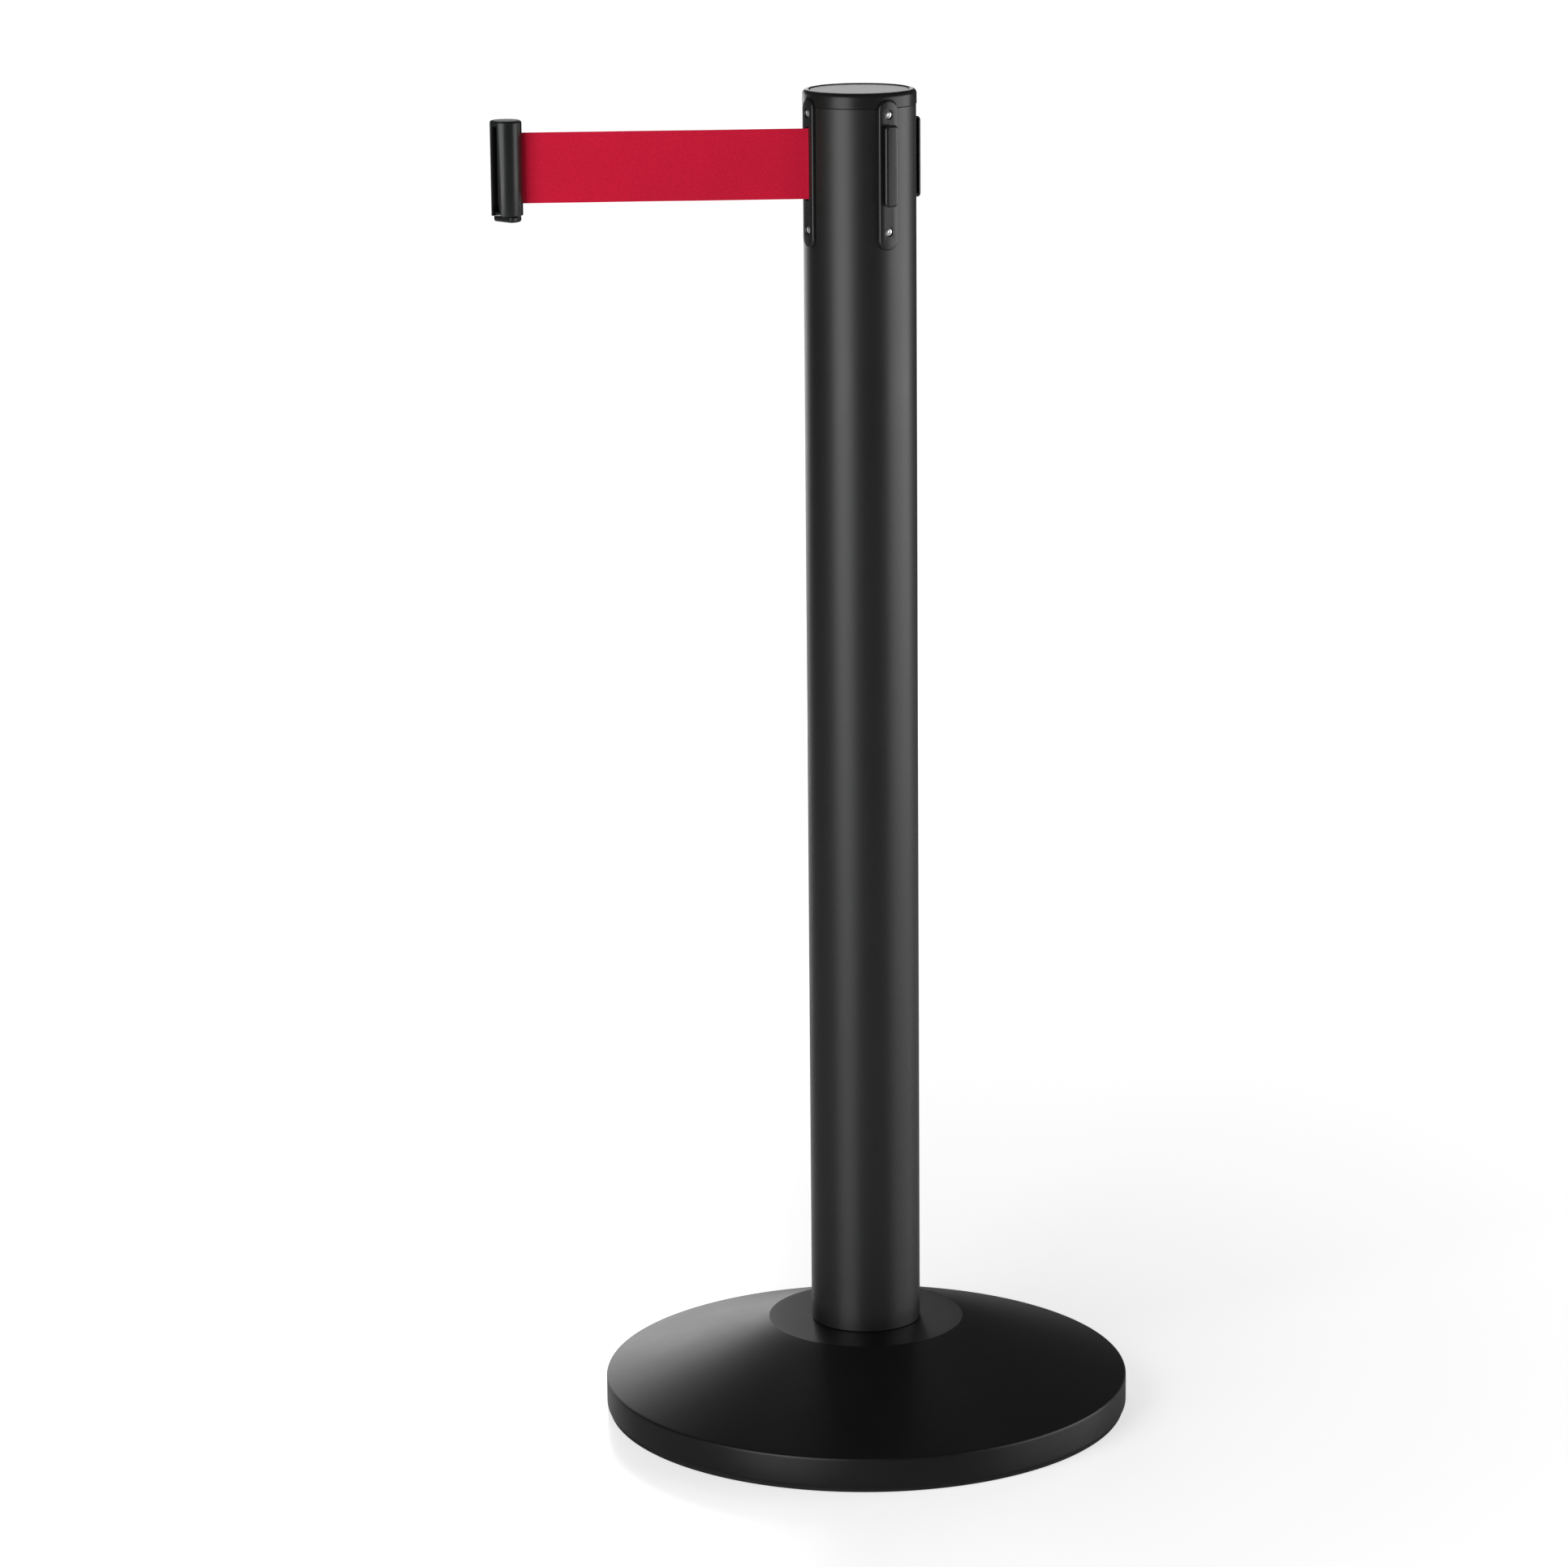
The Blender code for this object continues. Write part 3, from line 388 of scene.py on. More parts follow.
def webbing(name, colour):
    """Plain-woven polyester: ribs along the belt whose floats alternate from rib to rib."""
    rib, float_length = 0.9 * MM, 1.7 * MM
    n = Nodes(name)
    turn = -math.atan2(BELT_AXIS.y, BELT_AXIS.x)
    level = n.add("ShaderNodeMapping", {"Vector": n.coords, "Rotation": (0.0, 0.0, turn)}).outputs[0]
    parts = n.add("ShaderNodeSeparateXYZ", {"Vector": level}).outputs
    across = n.math("DIVIDE", parts["Z"], rib)
    along = n.math("DIVIDE", parts["X"], float_length)
    odd = n.math("MODULO", n.math("FLOOR", across), 2.0)
    rib_height = n.math("ABSOLUTE", n.math("SINE", n.math("MULTIPLY", across, math.pi)))
    phase = n.math("MULTIPLY_ADD", odd, 0.5, along)
    wave = n.math("MULTIPLY_ADD", n.math("SINE", n.math("MULTIPLY", phase, math.tau)), 0.5, 0.5)
    weave = n.math("MULTIPLY", n.math("POWER", rib_height, 0.7), n.math("MULTIPLY_ADD", wave, 0.45, 0.55))
    yarn_stretch = n.add("ShaderNodeMapping", {"Vector": level, "Scale": (1.0, 1.0, 9.0)}).outputs[0]
    yarn = n.noise(1400.0, 3.0, 0.6, yarn_stretch)
    height = n.math("MULTIPLY_ADD", yarn, 0.18, weave)
    # Painted shade: the colour darkens into the hollows between the ribs and lightens on their crowns,
    # following the weave's height.
    rib_shade_mask = n.spread(height, 0.0, 1.0, 0.15, 1.0)
    shade_drift = n.noise(16.0, 3.0, 0.5)
    painted_rib_shade = n.blend(rib_shade_mask, scaled(colour, 0.86), scaled(colour, 1.04))
    drift = n.spread(shade_drift, 0.94, 1.04)
    tinted = n.add("ShaderNodeVectorMath", operation="SCALE")
    n.tree.links.new(painted_rib_shade, tinted.inputs[0])
    n.tree.links.new(drift, tinted.inputs["Scale"])
    n.drive(Base_Color=tinted.outputs[0])
    n.drive(Roughness=n.spread(height, 0.86, 0.66, 0.1, 1.0))
    n.drive(Normal=n.bump(height, 0.00008, 0.4))
    n.fix(Sheen_Weight=0.05, Sheen_Roughness=0.45, Specular_IOR_Level=0.18)
    n.fix(Sheen_Tint=(1.0, 0.55, 0.6, 1.0))
    return n.material


def satin_disc(name, colour, roughness):
    """The grey disc: a satin laminate with faint circular brushing."""
    n = Nodes(name)
    parts = n.add("ShaderNodeSeparateXYZ", {"Vector": n.coords}).outputs
    span = n.math("SQRT", n.math("ADD", n.math("POWER", parts["X"], 2.0), n.math("POWER", parts["Y"], 2.0)))
    rings = n.add("ShaderNodeCombineXYZ", {"X": span, "Y": 0.0, "Z": 0.0}).outputs[0]
    lines = n.noise(2400.0, 4.0, 0.7, rings)
    fine = n.noise(1800.0, 2.0, 0.5)
    n.drive(Base_Color=n.blend(n.spread(n.noise(40.0, 4.0, 0.6), 0.0, 1.0), colour, scaled(colour, 0.93)))
    n.drive(Roughness=n.spread(n.math("MULTIPLY_ADD", fine, 0.4, lines), roughness - 0.05, roughness + 0.06))
    n.drive(Normal=n.bump(lines, 0.000004, 0.5))
    return n.material


def make_materials():
    return {
        "tube_paint": painted("tube_paint", (0.009, 0.0098, 0.0092), 0.36),
        "base_paint": painted("base_paint", (0.0040, 0.0048, 0.0042), 0.36, specular=0.36),
        "black_plastic": moulded("black_plastic", (0.012, 0.0125, 0.012), 0.27),
        "clip_plastic": moulded("clip_plastic", (0.013, 0.0145, 0.014), 0.32, specular=0.42),
        "cap_plastic": moulded("cap_plastic", (0.012, 0.0125, 0.012), 0.33, specular=0.32),
        "reel_plastic": moulded("reel_plastic", (0.03, 0.03, 0.03), 0.5),
        "grey_plastic": moulded("grey_plastic", (0.22, 0.23, 0.24), 0.5),
        "grey_disc": satin_disc("grey_disc", (0.50, 0.52, 0.51), 0.36),
        "red_webbing": webbing("red_webbing", (0.70, 0.0065, 0.042)),
        "thread": rubbery("thread", (0.45, 0.010, 0.03), 0.7),
        "rubber": rubbery("rubber", (0.014, 0.014, 0.014), 0.75),
        "cast_iron": cast("cast_iron", (0.035, 0.035, 0.035), 0.68),
        "bright_steel": metal("bright_steel", (0.88, 0.88, 0.87), 0.30),
        "spring_steel": metal("spring_steel", (0.30, 0.33, 0.38), 0.32),
        "brass": metal("brass", (0.76, 0.58, 0.28), 0.30),
    }


def paint_nodes(materials):
    """Gives the CAD pieces that stay their real finish."""
    finishes = {
        "bright_steel": ["base_bolt", "lock_washer", "base_washer", "cap_screw", "spindle", "clip_pin"]
        + [f"cassette_pillar_{i}" for i in range(1, 5)],
        "cast_iron": ["tube_plug"],
        "spring_steel": ["power_spring"],
        "brass": ["bush_upper", "bush_lower", "spindle_collar"],
        "grey_plastic": ["cassette_top", "cassette_bottom"],
        "reel_plastic": ["reel", "reel_cover"],
    }
    for finish, nodes in finishes.items():
        for node in nodes:
            mesh = frame["nodes"][node].data
            mesh.materials.clear()
            mesh.materials.append(materials[finish])


# ---------------------------------------------------------------- base


def base_shell(materials):
    """The pressed cover: upright rim, rolled shoulder, cone and flat plateau."""
    shoulder = 2.2 * MM
    sheet = 1.2 * MM
    bottom = COVER_LOW.z
    top = COVER_HIGH.z
    hole = 7.5 * MM
    slope = math.degrees(math.atan2(top - RIM_TOP, BASE_RADIUS - PLATEAU_RADIUS))
    shoulder_centre = (BASE_RADIUS - shoulder, RIM_TOP - shoulder + 0.3 * MM)
    crest = arc((PLATEAU_RADIUS - 1.2 * MM, top - 1.5 * MM), 1.5 * MM, 90, 90 - slope, 4)
    profile = [
        (hole, top),
        (PLATEAU_RADIUS - 8 * MM, top),
        *crest,
        (PLATEAU_RADIUS + 12 * MM, crest[-1][1] - 12 * MM * math.tan(math.radians(slope))),
        *arc(shoulder_centre, shoulder, 90 - slope, 0, 8),
        (BASE_RADIUS, (RIM_TOP + bottom) / 2),
        *arc((BASE_RADIUS - 0.7 * MM, bottom + 0.7 * MM), 0.7 * MM, 0, -90, 4),
        (BASE_RADIUS - sheet, bottom),
        (BASE_RADIUS - sheet, RIM_TOP - shoulder),
        (BASE_RADIUS - shoulder - 0.4 * MM, RIM_TOP - sheet),
        (PLATEAU_RADIUS - 0.2 * MM, top - sheet - 0.4 * MM),
        (PLATEAU_RADIUS - MM, top - sheet),
        (hole, top - sheet),
    ]
    shell = turned("base_shell", profile, materials["base_paint"], 224)
    stand_in(shell, "post", "black_paint", "base_cover")


def floor_gasket(materials):
    """The rubber ring that the base stands on, with a shallow groove round its edge."""
    edge = radius_of("floor_ring")
    inner = 158 * MM
    ring_top = RING_HIGH.z
    profile = [
        (inner, 0.4 * MM),
        (inner + 0.4 * MM, 0.0),
        (edge - 0.8 * MM, 0.0),
        *arc((edge - 0.7 * MM, 0.7 * MM), 0.7 * MM, -90, 0, 4),
        (edge, ring_top - 1.4 * MM),
        (edge - 0.35 * MM, ring_top - 1.1 * MM),
        (edge - 0.35 * MM, ring_top - 0.8 * MM),
        (edge, ring_top - 0.5 * MM),
        (edge, ring_top),
        (inner, ring_top),
    ]
    gasket = turned("floor_gasket", profile, materials["rubber"], 224)
    stand_in(gasket, "post", "rubber", "floor_ring")


def weight_disc(materials):
    """The iron weight, which is the underside too: drafted edges, a groove and the bolt's counterbore."""
    low, high = WEIGHT_LOW.z, WEIGHT_HIGH.z
    radius = radius_of("base_weight")
    disc_top = low + 16 * MM
    bore, counterbore, hub = 6.5 * MM, 15 * MM, 40 * MM
    groove_outer, groove_inner, groove_top = 130 * MM, 122 * MM, low + 0.8 * MM
    draft = 0.5 * MM
    counterbore_top = low + 13 * MM
    profile = [
        (bore, high),
        (hub - 0.6 * MM, high),
        (hub, high - 0.6 * MM),
        (hub + 1.5 * MM, disc_top + 8 * MM),
        (hub + 8 * MM, disc_top),
        (radius - 3 * MM, disc_top),
        (radius, disc_top - 3 * MM),
        (radius, low + MM),
        (radius - MM, low),
        (groove_outer + draft, low),
        (groove_outer, groove_top),
        (groove_inner, groove_top),
        (groove_inner - draft, low),
        (counterbore + 0.8 * MM, low),
        (counterbore, low + 0.8 * MM),
        (counterbore, counterbore_top),
        (bore, counterbore_top),
    ]
    weight = turned("weight_disc", profile, materials["cast_iron"], 160)
    stand_in(weight, "post", "cast_iron", "base_weight")


# ---------------------------------------------------------------- tube and cap


def tube_skin(materials):
    """The tube, with eased ends, the belt's window and the screw holes."""
    inner = TUBE_RADIUS - TUBE_WALL
    low, high = TUBE_LOW.z, SEAM_Z
    ease = 0.25 * MM
    rows = [(TUBE_RADIUS, low + ease + (high - low - 2 * ease) * i / 6) for i in range(7)]
    profile = [
        (inner, low),
        (TUBE_RADIUS - ease, low),
        *rows,
        (TUBE_RADIUS - ease, high),
        (inner, high),
    ]
    tube = turned("tube_skin", profile, materials["tube_paint"], 192)
    window = rounded_outline(8.5 * MM, 52 * MM, 3 * MM, 4)
    cutter = upright_slab("window", [(30 * MM, window), (41 * MM, window)], BELT_Z)
    cutter.rotation_euler.z = PLATE_AZIMUTHS["outlet_plate"]
    cutters = [cutter]
    for name, azimuth in PLATE_AZIMUTHS.items():
        for i, height in enumerate(SCREW_Z):
            hole = turned(f"hole_{name}_{i}", rod(2 * MM, 30 * MM, 41 * MM), None, 16, half_step=True)
            cutters.append(radial(hole, height, azimuth))
    carve(tube, cutters)
    stand_in(tube, "post", "black_paint", "post_tube")


def cap_ring(materials):
    """The cap: a rolled rim round a recess, notched over the four plates, on a spigot in the tube."""
    low = SEAM_Z + 0.1 * MM
    spigot_low, top = CAP_LOW.z, CAP_HIGH.z
    rim = 3.4 * MM
    inner_rim = 1.4 * MM
    recess_radius = radius_of("cap_disc") + 0.3 * MM
    recess = DISC_LOW.z - 0.3 * MM
    underside = recess - 2.9 * MM
    spigot, spigot_inner = TUBE_RADIUS - TUBE_WALL - 0.4 * MM, 34 * MM
    boss, screw_hole, screw_head = 7 * MM, 2.8 * MM, 5.1 * MM
    profile = [
        (screw_hole, spigot_low),
        (boss, spigot_low),
        (boss, underside),
        (spigot_inner, underside),
        (spigot_inner, spigot_low),
        (spigot, spigot_low),
        (spigot, low),
        (CAP_RADIUS - 0.3 * MM, low),
        (CAP_RADIUS, low + 0.3 * MM),
        *arc((CAP_RADIUS - rim, top - rim), rim, 0, 90, 8),
        *arc((recess_radius + inner_rim, top - inner_rim), inner_rim, 90, 175, 6),
        (recess_radius, recess),
        (screw_head, recess),
        (screw_head, underside + 0.2 * MM),
        (screw_hole, underside + 0.2 * MM),
    ]
    ring = turned("cap_ring", profile, materials["cap_plastic"], 160)
    margin = 0.9 * MM
    size = (PLATE_SIZE[0] + 2 * margin, PLATE_SIZE[1] + 2 * margin)
    notch = rounded_outline(*size, size[0] / 2, 14)
    cutters = []
    for name, azimuth in PLATE_AZIMUTHS.items():
        cutter = upright_slab(f"notch_{name}", [(37.7 * MM, notch), (43 * MM, notch)], PLATE_CENTRE_Z)
        cutter.rotation_euler.z = azimuth
        cutters.append(cutter)
    carve(ring, cutters)
    stand_in(ring, "post", "black_plastic", "top_cap")


def cap_inlay(materials):
    """The grey disc in the cap's recess, with an eased edge."""
    radius = radius_of("cap_disc")
    low, high = DISC_LOW.z, DISC_HIGH.z - 0.4 * MM
    edge = 0.3 * MM
    profile = [
        (0, low),
        (radius, low),
        *arc((radius - edge, high - edge), edge, 0, 90, 3),
        *[(radius * share, high) for share in (0.85, 0.6, 0.3)],
        (0, high),
    ]
    disc = turned("cap_inlay", profile, materials["grey_disc"], 160)
    stand_in(disc, "post", "grey_disc", "cap_disc")


# ---------------------------------------------------------------- plates, rails and screws


def plate_blank(name, material):
    """A long plate with round ends. Its back follows the tube and its face has rolled edges."""
    width, height = PLATE_SIZE
    roll = 1.3 * MM
    sections = [(36 * MM, rounded_outline(width, height, width / 2, 14))]
    for angle in (0, 22.5, 45, 67.5, 90):
        turn = math.radians(angle)
        inset = roll * (1 - math.cos(turn))
        x = PLATE_FACE - roll * (1 - math.sin(turn))
        outline = rounded_outline(width - 2 * inset, height - 2 * inset, width / 2 - inset, 14)
        sections.append((x, outline))
    plate = upright_slab(name, sections, PLATE_CENTRE_Z, material)
    core = rod(CAP_RADIUS - 0.1 * MM, PLATE_LOW.z - 20 * MM, PLATE_HIGH.z + 20 * MM)
    cutters = [turned(f"{name}_seat", core, None, 192, half_step=True)]
    bore, head = 1.8 * MM, 3.1 * MM
    counterbore = [
        (0, 30 * MM),
        (bore, 30 * MM),
        (bore, SCREW_SEAT),
        (head, SCREW_SEAT),
        (head, PLATE_FACE - 0.25 * MM),
        (head + 0.5 * MM, PLATE_FACE + 0.25 * MM),
        (head + 0.5 * MM, 44 * MM),
        (0, 44 * MM),
    ]
    for i, height in enumerate(SCREW_Z):
        cutter = turned(f"{name}_counterbore_{i}", counterbore, None, 36, half_step=True)
        cutters.append(radial(cutter, height, 0.0))
    carve(plate, cutters)
    return plate


def outlet_plate(materials):
    """The plate that the belt runs out of, through a slot with flared lips."""
    plate = plate_blank("outlet_bezel", materials["black_plastic"])
    slot_height = BELT_WIDTH + 1.8 * MM
    sections = [(34 * MM, rounded_outline(3.4 * MM, slot_height, 1.2 * MM, 4))]
    for x, flare in ((-0.9, 0.0), (-0.45, 0.15), (0.0, 0.5), (0.2, 0.9)):
        size = ((3.4 + 2 * flare) * MM, slot_height + 2 * flare * MM)
        sections.append((PLATE_FACE + x * MM, rounded_outline(*size, (1.2 + flare) * MM, 4)))
    carve(plate, [upright_slab("slot", sections, BELT_Z)])
    plate.rotation_euler.z = PLATE_AZIMUTHS["outlet_plate"]
    stand_in(plate, "post", "black_plastic", "outlet_plate")


def receiver_plates(materials):
    """Plates with a T-rail: a round-edged head on a narrow neck. All three share one mesh."""
    plate = plate_blank("receiver_1", materials["black_plastic"])
    rail_width, rail_height, head_depth = 10 * MM, 54.4 * MM, 2 * MM
    underside = RAIL_FACE - head_depth
    neck = rounded_outline(4 * MM, rail_height - 4 * MM, MM, 4)
    root = rounded_outline(5.4 * MM, rail_height - 2.6 * MM, 1.6 * MM, 4)
    neck_sections = [
        (PLATE_FACE - MM, root),
        (PLATE_FACE, root),
        (PLATE_FACE + 0.5 * MM, neck),
        (underside + MM, neck),
    ]
    head_sections = []
    easing = [(underside, 0.35), (underside + 0.3 * MM, 0.0)]
    for angle in (0, 0.35, 0.7, 1.05, 1.35):
        easing.append((RAIL_FACE - 1.6 * MM * (1 - math.sin(angle)), 1.9 * (1 - math.cos(angle))))
    easing.append((RAIL_FACE, 2.1))
    for x, inset in easing:
        size = (rail_width - 2 * inset * MM, rail_height - 2 * inset * MM)
        head_sections.append((x, rounded_outline(*size, (3.2 - inset) * MM, 8)))
    parts = [
        upright_slab("neck", neck_sections, BELT_Z),
        upright_slab("rail", head_sections, BELT_Z),
    ]
    carve(plate, parts, "UNION")
    for number in (1, 2, 3):
        piece = plate if number == 1 else link(f"receiver_{number}", plate.data)
        piece.rotation_euler.z = PLATE_AZIMUTHS[f"receiver_plate_{number}"]
        stand_in(piece, "post", "black_plastic", f"receiver_plate_{number}")


def plate_screws(materials):
    """Button-head screws with a hexagon socket. All eight share one mesh."""
    seat = SCREW_SEAT + 0.1 * MM
    head = 2.5 * MM
    crown = seat + 1.15 * MM
    dome = arc((0, crown - 4.6 * MM), 4.6 * MM, 64, 86, 6)
    profile = [
        (0, seat - 10 * MM),
        (1.3 * MM, seat - 10 * MM),
        (1.5 * MM, seat - 9.7 * MM),
        (1.5 * MM, seat),
        (head - 0.1 * MM, seat),
        (head, seat + 0.1 * MM),
        (head, seat + 0.45 * MM),
        *[point for point in dome if point[0] < head - 0.1 * MM],
        (0, crown),
    ]
    screw = turned("head_screw_1", profile, materials["bright_steel"], 36)
    socket = [(1.3 * MM * math.cos(i * math.pi / 3), 1.3 * MM * math.sin(i * math.pi / 3)) for i in range(6)]
    cutter = lofted("socket", [[(x, y, z) for x, y in socket] for z in (seat + 0.25 * MM, crown + MM)])
    carve(screw, [cutter])
    number = 0
    for azimuth in PLATE_AZIMUTHS.values():
        for height in SCREW_Z:
            number += 1
            piece = screw if number == 1 else link(f"head_screw_{number}", screw.data)
            radial(piece, height, azimuth)
            stand_in(piece, "post", "bright_steel", f"plate_screw_{number}")


# ---------------------------------------------------------------- belt


def wound_roll(materials):
    """The belt on the reel. Its two ends have a groove for each turn."""
    inner, outer = 15.9 * MM, radius_of("belt_roll")
    low, high = ROLL_LOW.z, ROLL_HIGH.z
    turns = 15
    pitch = (outer - inner) / turns
    groove = 0.25 * MM

    def end_face(level, towards):
        points = []
        for i in range(turns):
            start = inner + i * pitch
            points += [(start, level + towards * groove), (start + 0.5 * pitch, level)]
        return points + [(outer, level + towards * groove)]

    profile = end_face(low, 1) + list(reversed(end_face(high, -1)))
    roll = turned("wound_roll", profile, materials["red_webbing"], 72)
    stand_in(roll, "reel", "red_webbing", "belt_roll")


def belt_route():
    """Points along the belt: off the roll, through the slot, along the run and round the pin."""
    reach = radius_of("belt_roll") + 0.3 * MM + 0.4 * MM
    leaving = math.pi + math.acos(reach / OUTLET.length)
    points = []
    for step in range(8, -1, -1):
        angle = leaving + math.radians(5 * step)
        points.append(Vector((reach * math.cos(angle), reach * math.sin(angle))))
    tangent = points[-1]
    lead_steps = 10
    points += [tangent.lerp(OUTLET.xy, i / lead_steps) for i in range(1, lead_steps)]
    run_steps = 96
    loop_start = PIN.xy - BELT_AXIS.xy * 6.5 * MM
    points += [OUTLET.xy.lerp(loop_start, i / run_steps) for i in range(run_steps + 1)]
    return points


def belt_offset(share, height_share):
    """A hand-pulled belt is never quite flat: a slow sway that fades out at both ends."""
    fade = math.sin(math.pi * share)
    sway = 0.55 * math.sin(2.1 * math.pi * share + 0.6) + 0.25 * math.sin(5.2 * math.pi * share + 1.9)
    cup = 0.35 * (height_share * height_share)
    return (sway * 0.5 + cup) * fade * MM


def belt(materials):
    """The webbing from the roll to the sewn loop, with its thicker selvedges."""
    half = BELT_WIDTH / 2
    thick = 0.45 * MM
    route = belt_route()
    lengths = [0.0]
    for first, second in zip(route, route[1:]):
        lengths.append(lengths[-1] + (second - first).length)
    total = lengths[-1]
    start_run = (OUTLET.xy - route[0]).length
    across_steps = 20
    columns = []
    for i, point in enumerate(route):
        ahead = route[min(i + 1, len(route) - 1)]
        behind = route[max(i - 1, 0)]
        along = (ahead - behind).normalized()
        side = Vector((-along.y, along.x))
        share = min(max((lengths[i] - start_run) / (total - start_run), 0.0), 1.0)
        column = []
        for face in (1, -1):
            for j in range(across_steps + 1):
                height_share = -1 + 2 * j / across_steps
                height_share *= face
                selvedge = 1.0 if abs(height_share) < 0.93 else 1.35
                if abs(height_share) == 1:
                    selvedge = 0.55
                spot = point + side * (belt_offset(share, height_share) + face * thick * selvedge)
                column.append((spot.x, spot.y, BELT_Z + half * height_share))
        columns.append(column)
    strap = lofted("belt_webbing", columns, materials["red_webbing"])
    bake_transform(strap)
    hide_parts("belt_run", "belt_lead")


def belt_loop(materials):
    """The belt's end, folded round the pin and sewn to itself with two rows of stitches."""
    inner, outer = 1.8 * MM, 2.6 * MM
    tail = 7 * MM
    narrow = 0.8 * MM
    opening = math.degrees(math.asin(narrow / outer))
    outside = [(tail, narrow), *arc((0, 0), outer, opening, 360 - opening, 28), (tail, -narrow)]
    low, high = BELT_Z - BELT_WIDTH / 2, BELT_Z + BELT_WIDTH / 2
    levels = ((low, 0.15 * MM), (low + 0.3 * MM, 0.0), (high - 0.3 * MM, 0.0), (high, 0.15 * MM))
    rings = []
    for z, inset in levels:
        shrink = 1 - inset / outer
        rings.append([(x * shrink if x < tail else x, y * shrink, z) for x, y in outside])
    loop = lofted("sewn_loop", rings, materials["red_webbing"])
    carve(loop, [turned("pin_hole", rod(inner, low - MM, high + MM), None, 24, half_step=True)])
    loop.location = PIN
    loop.rotation_euler.z = math.atan2(-BELT_AXIS.y, -BELT_AXIS.x)
    stand_in(loop, "belt_end", "red_webbing", "belt_loop")

    bm = bmesh.new()
    pitch, length = 2.6 * MM, 1.9 * MM
    count = int((BELT_WIDTH - 3 * MM) / pitch)
    for row in (3.9 * MM, 5.9 * MM):
        for side in (-1, 1):
            for i in range(count):
                place = Vector((row, side * (narrow + 0.02 * MM), low + 2.2 * MM + pitch * i + length / 2))
                stitch = Matrix.Translation(place) @ Matrix.Diagonal((0.16 * MM, 0.14 * MM, length / 2, 1.0))
                bmesh.ops.create_icosphere(bm, subdivisions=2, radius=1.0, matrix=stitch)
    stitches = from_bmesh("loop_stitches", bm, materials["thread"])
    stitches.location = PIN
    stitches.rotation_euler = loop.rotation_euler
    stand_in(stitches, "belt_end", "red_webbing")


# ---------------------------------------------------------------- end clip


CLIP_RADIUS = 10.7 * MM
CLIP_CENTRE = 5.2 * MM
CLIP_FLAT = CLIP_CENTRE + 10.4 * MM
CLIP_BOTTOM = CLIP_LOW.z
CLIP_TOP = CLIP_HIGH.z
CHANNEL_TOP = CLIP_TOP - 3.3 * MM
LIP_BACK = CLIP_CENTRE + 7.6 * MM
POCKET_BOTTOM = CLIP_BOTTOM + 5.4 * MM
POCKET_TOP = CLIP_TOP - 6.8 * MM
GROOVE_TOP = CLIP_BOTTOM + 2.9 * MM
LOCK_RADIUS = 9.4 * MM
LOCK_FLAT = CLIP_CENTRE + 4.6 * MM
TONGUE_FRONT = CLIP_CENTRE + 7.8 * MM


def place_on_pin(obj):
    """Puts a piece drawn with the pin at the origin and the channel towards +X in its place."""
    obj.location = (PIN.x, PIN.y, 0.0)
    obj.rotation_euler.z = CLIP_AZIMUTH


def flattened_circle(radius, flat, inset, ease, steps=72):
    """A circle about the clip's centre, cut straight along X with eased corners, inset all round."""
    radius = radius - inset
    flat = flat - CLIP_CENTRE - inset
    corner = math.acos(flat / radius) + ease / radius
    outline = []
    for step in range(steps + 1):
        angle = corner + (math.tau - 2 * corner) * step / steps
        outline.append((CLIP_CENTRE + radius * math.cos(angle), radius * math.sin(angle)))
    half_flat = radius * math.sin(math.acos(flat / radius)) - ease
    outline.append((CLIP_CENTRE + flat, -half_flat))
    outline.append((CLIP_CENTRE + flat, half_flat))
    return outline


def clip_blank(material):
    """The clip's outside, with a rolled foot and a domed top."""
    foot, crown = 0.7 * MM, 1.5 * MM
    levels = []
    for angle in (0, 0.5, 1.0, 1.5708):
        levels.append((CLIP_BOTTOM + foot * (1 - math.cos(angle)), foot * (1 - math.sin(angle))))
    for angle in (0, 0.4, 0.8, 1.15, 1.4):
        levels.append((CLIP_TOP - crown * (1 - math.sin(angle)), crown * (1 - math.cos(angle))))
    levels.append((CLIP_TOP, crown * 1.25))
    rings = []
    for z, inset in levels:
        outline = flattened_circle(CLIP_RADIUS, CLIP_FLAT, inset, 0.7 * MM)
        rings.append([(x, y, z) for x, y in outline])
    return lofted("clip_shell", rings, material)


def channel_cutters():
    """The T-channel that takes another post's rail, open at its foot."""
    low = CLIP_BOTTOM - MM
    outside = CLIP_FLAT + 2 * MM
    back = CLIP_CENTRE + 1.5 * MM
    half, half_mouth = 5.6 * MM, 2.3 * MM
    cavity = box("channel_cavity", (back, -half, low), (LIP_BACK, half, CHANNEL_TOP))
    mouth = box("channel_mouth", (LIP_BACK - MM, -half_mouth, low), (outside, half_mouth, CHANNEL_TOP))
    rings = []
    for z, y in ((low, 4.9 * MM), (CLIP_BOTTOM + 9 * MM, half_mouth)):
        near = LIP_BACK - 0.5 * MM
        rings.append([(near, -y, z), (outside, -y, z), (outside, y, z), (near, y, z)])
    return [cavity, mouth, lofted("lead_in", rings)]


def pocket_cutters():
    """The pocket for the sewn loop, the flare that lets the clip turn, and the pin's bore."""
    pocket = turned("loop_pocket", rod(3.2 * MM, POCKET_BOTTOM, POCKET_TOP), None, 40, half_step=True)
    apex, reach, spread = 2.2 * MM, 12 * MM, 13.2 * MM
    triangle = [(apex, 0.0), (apex - reach, spread), (apex - reach, -spread)]
    flare = lofted("belt_flare", [[(x, y, z) for x, y in triangle] for z in (POCKET_BOTTOM, POCKET_TOP)])
    bore = rod(1.8 * MM, GROOVE_TOP - 0.5 * MM, PIN_HIGH.z + 0.3 * MM)
    return [pocket, flare, turned("pin_bore", bore, None, 24, half_step=True)]


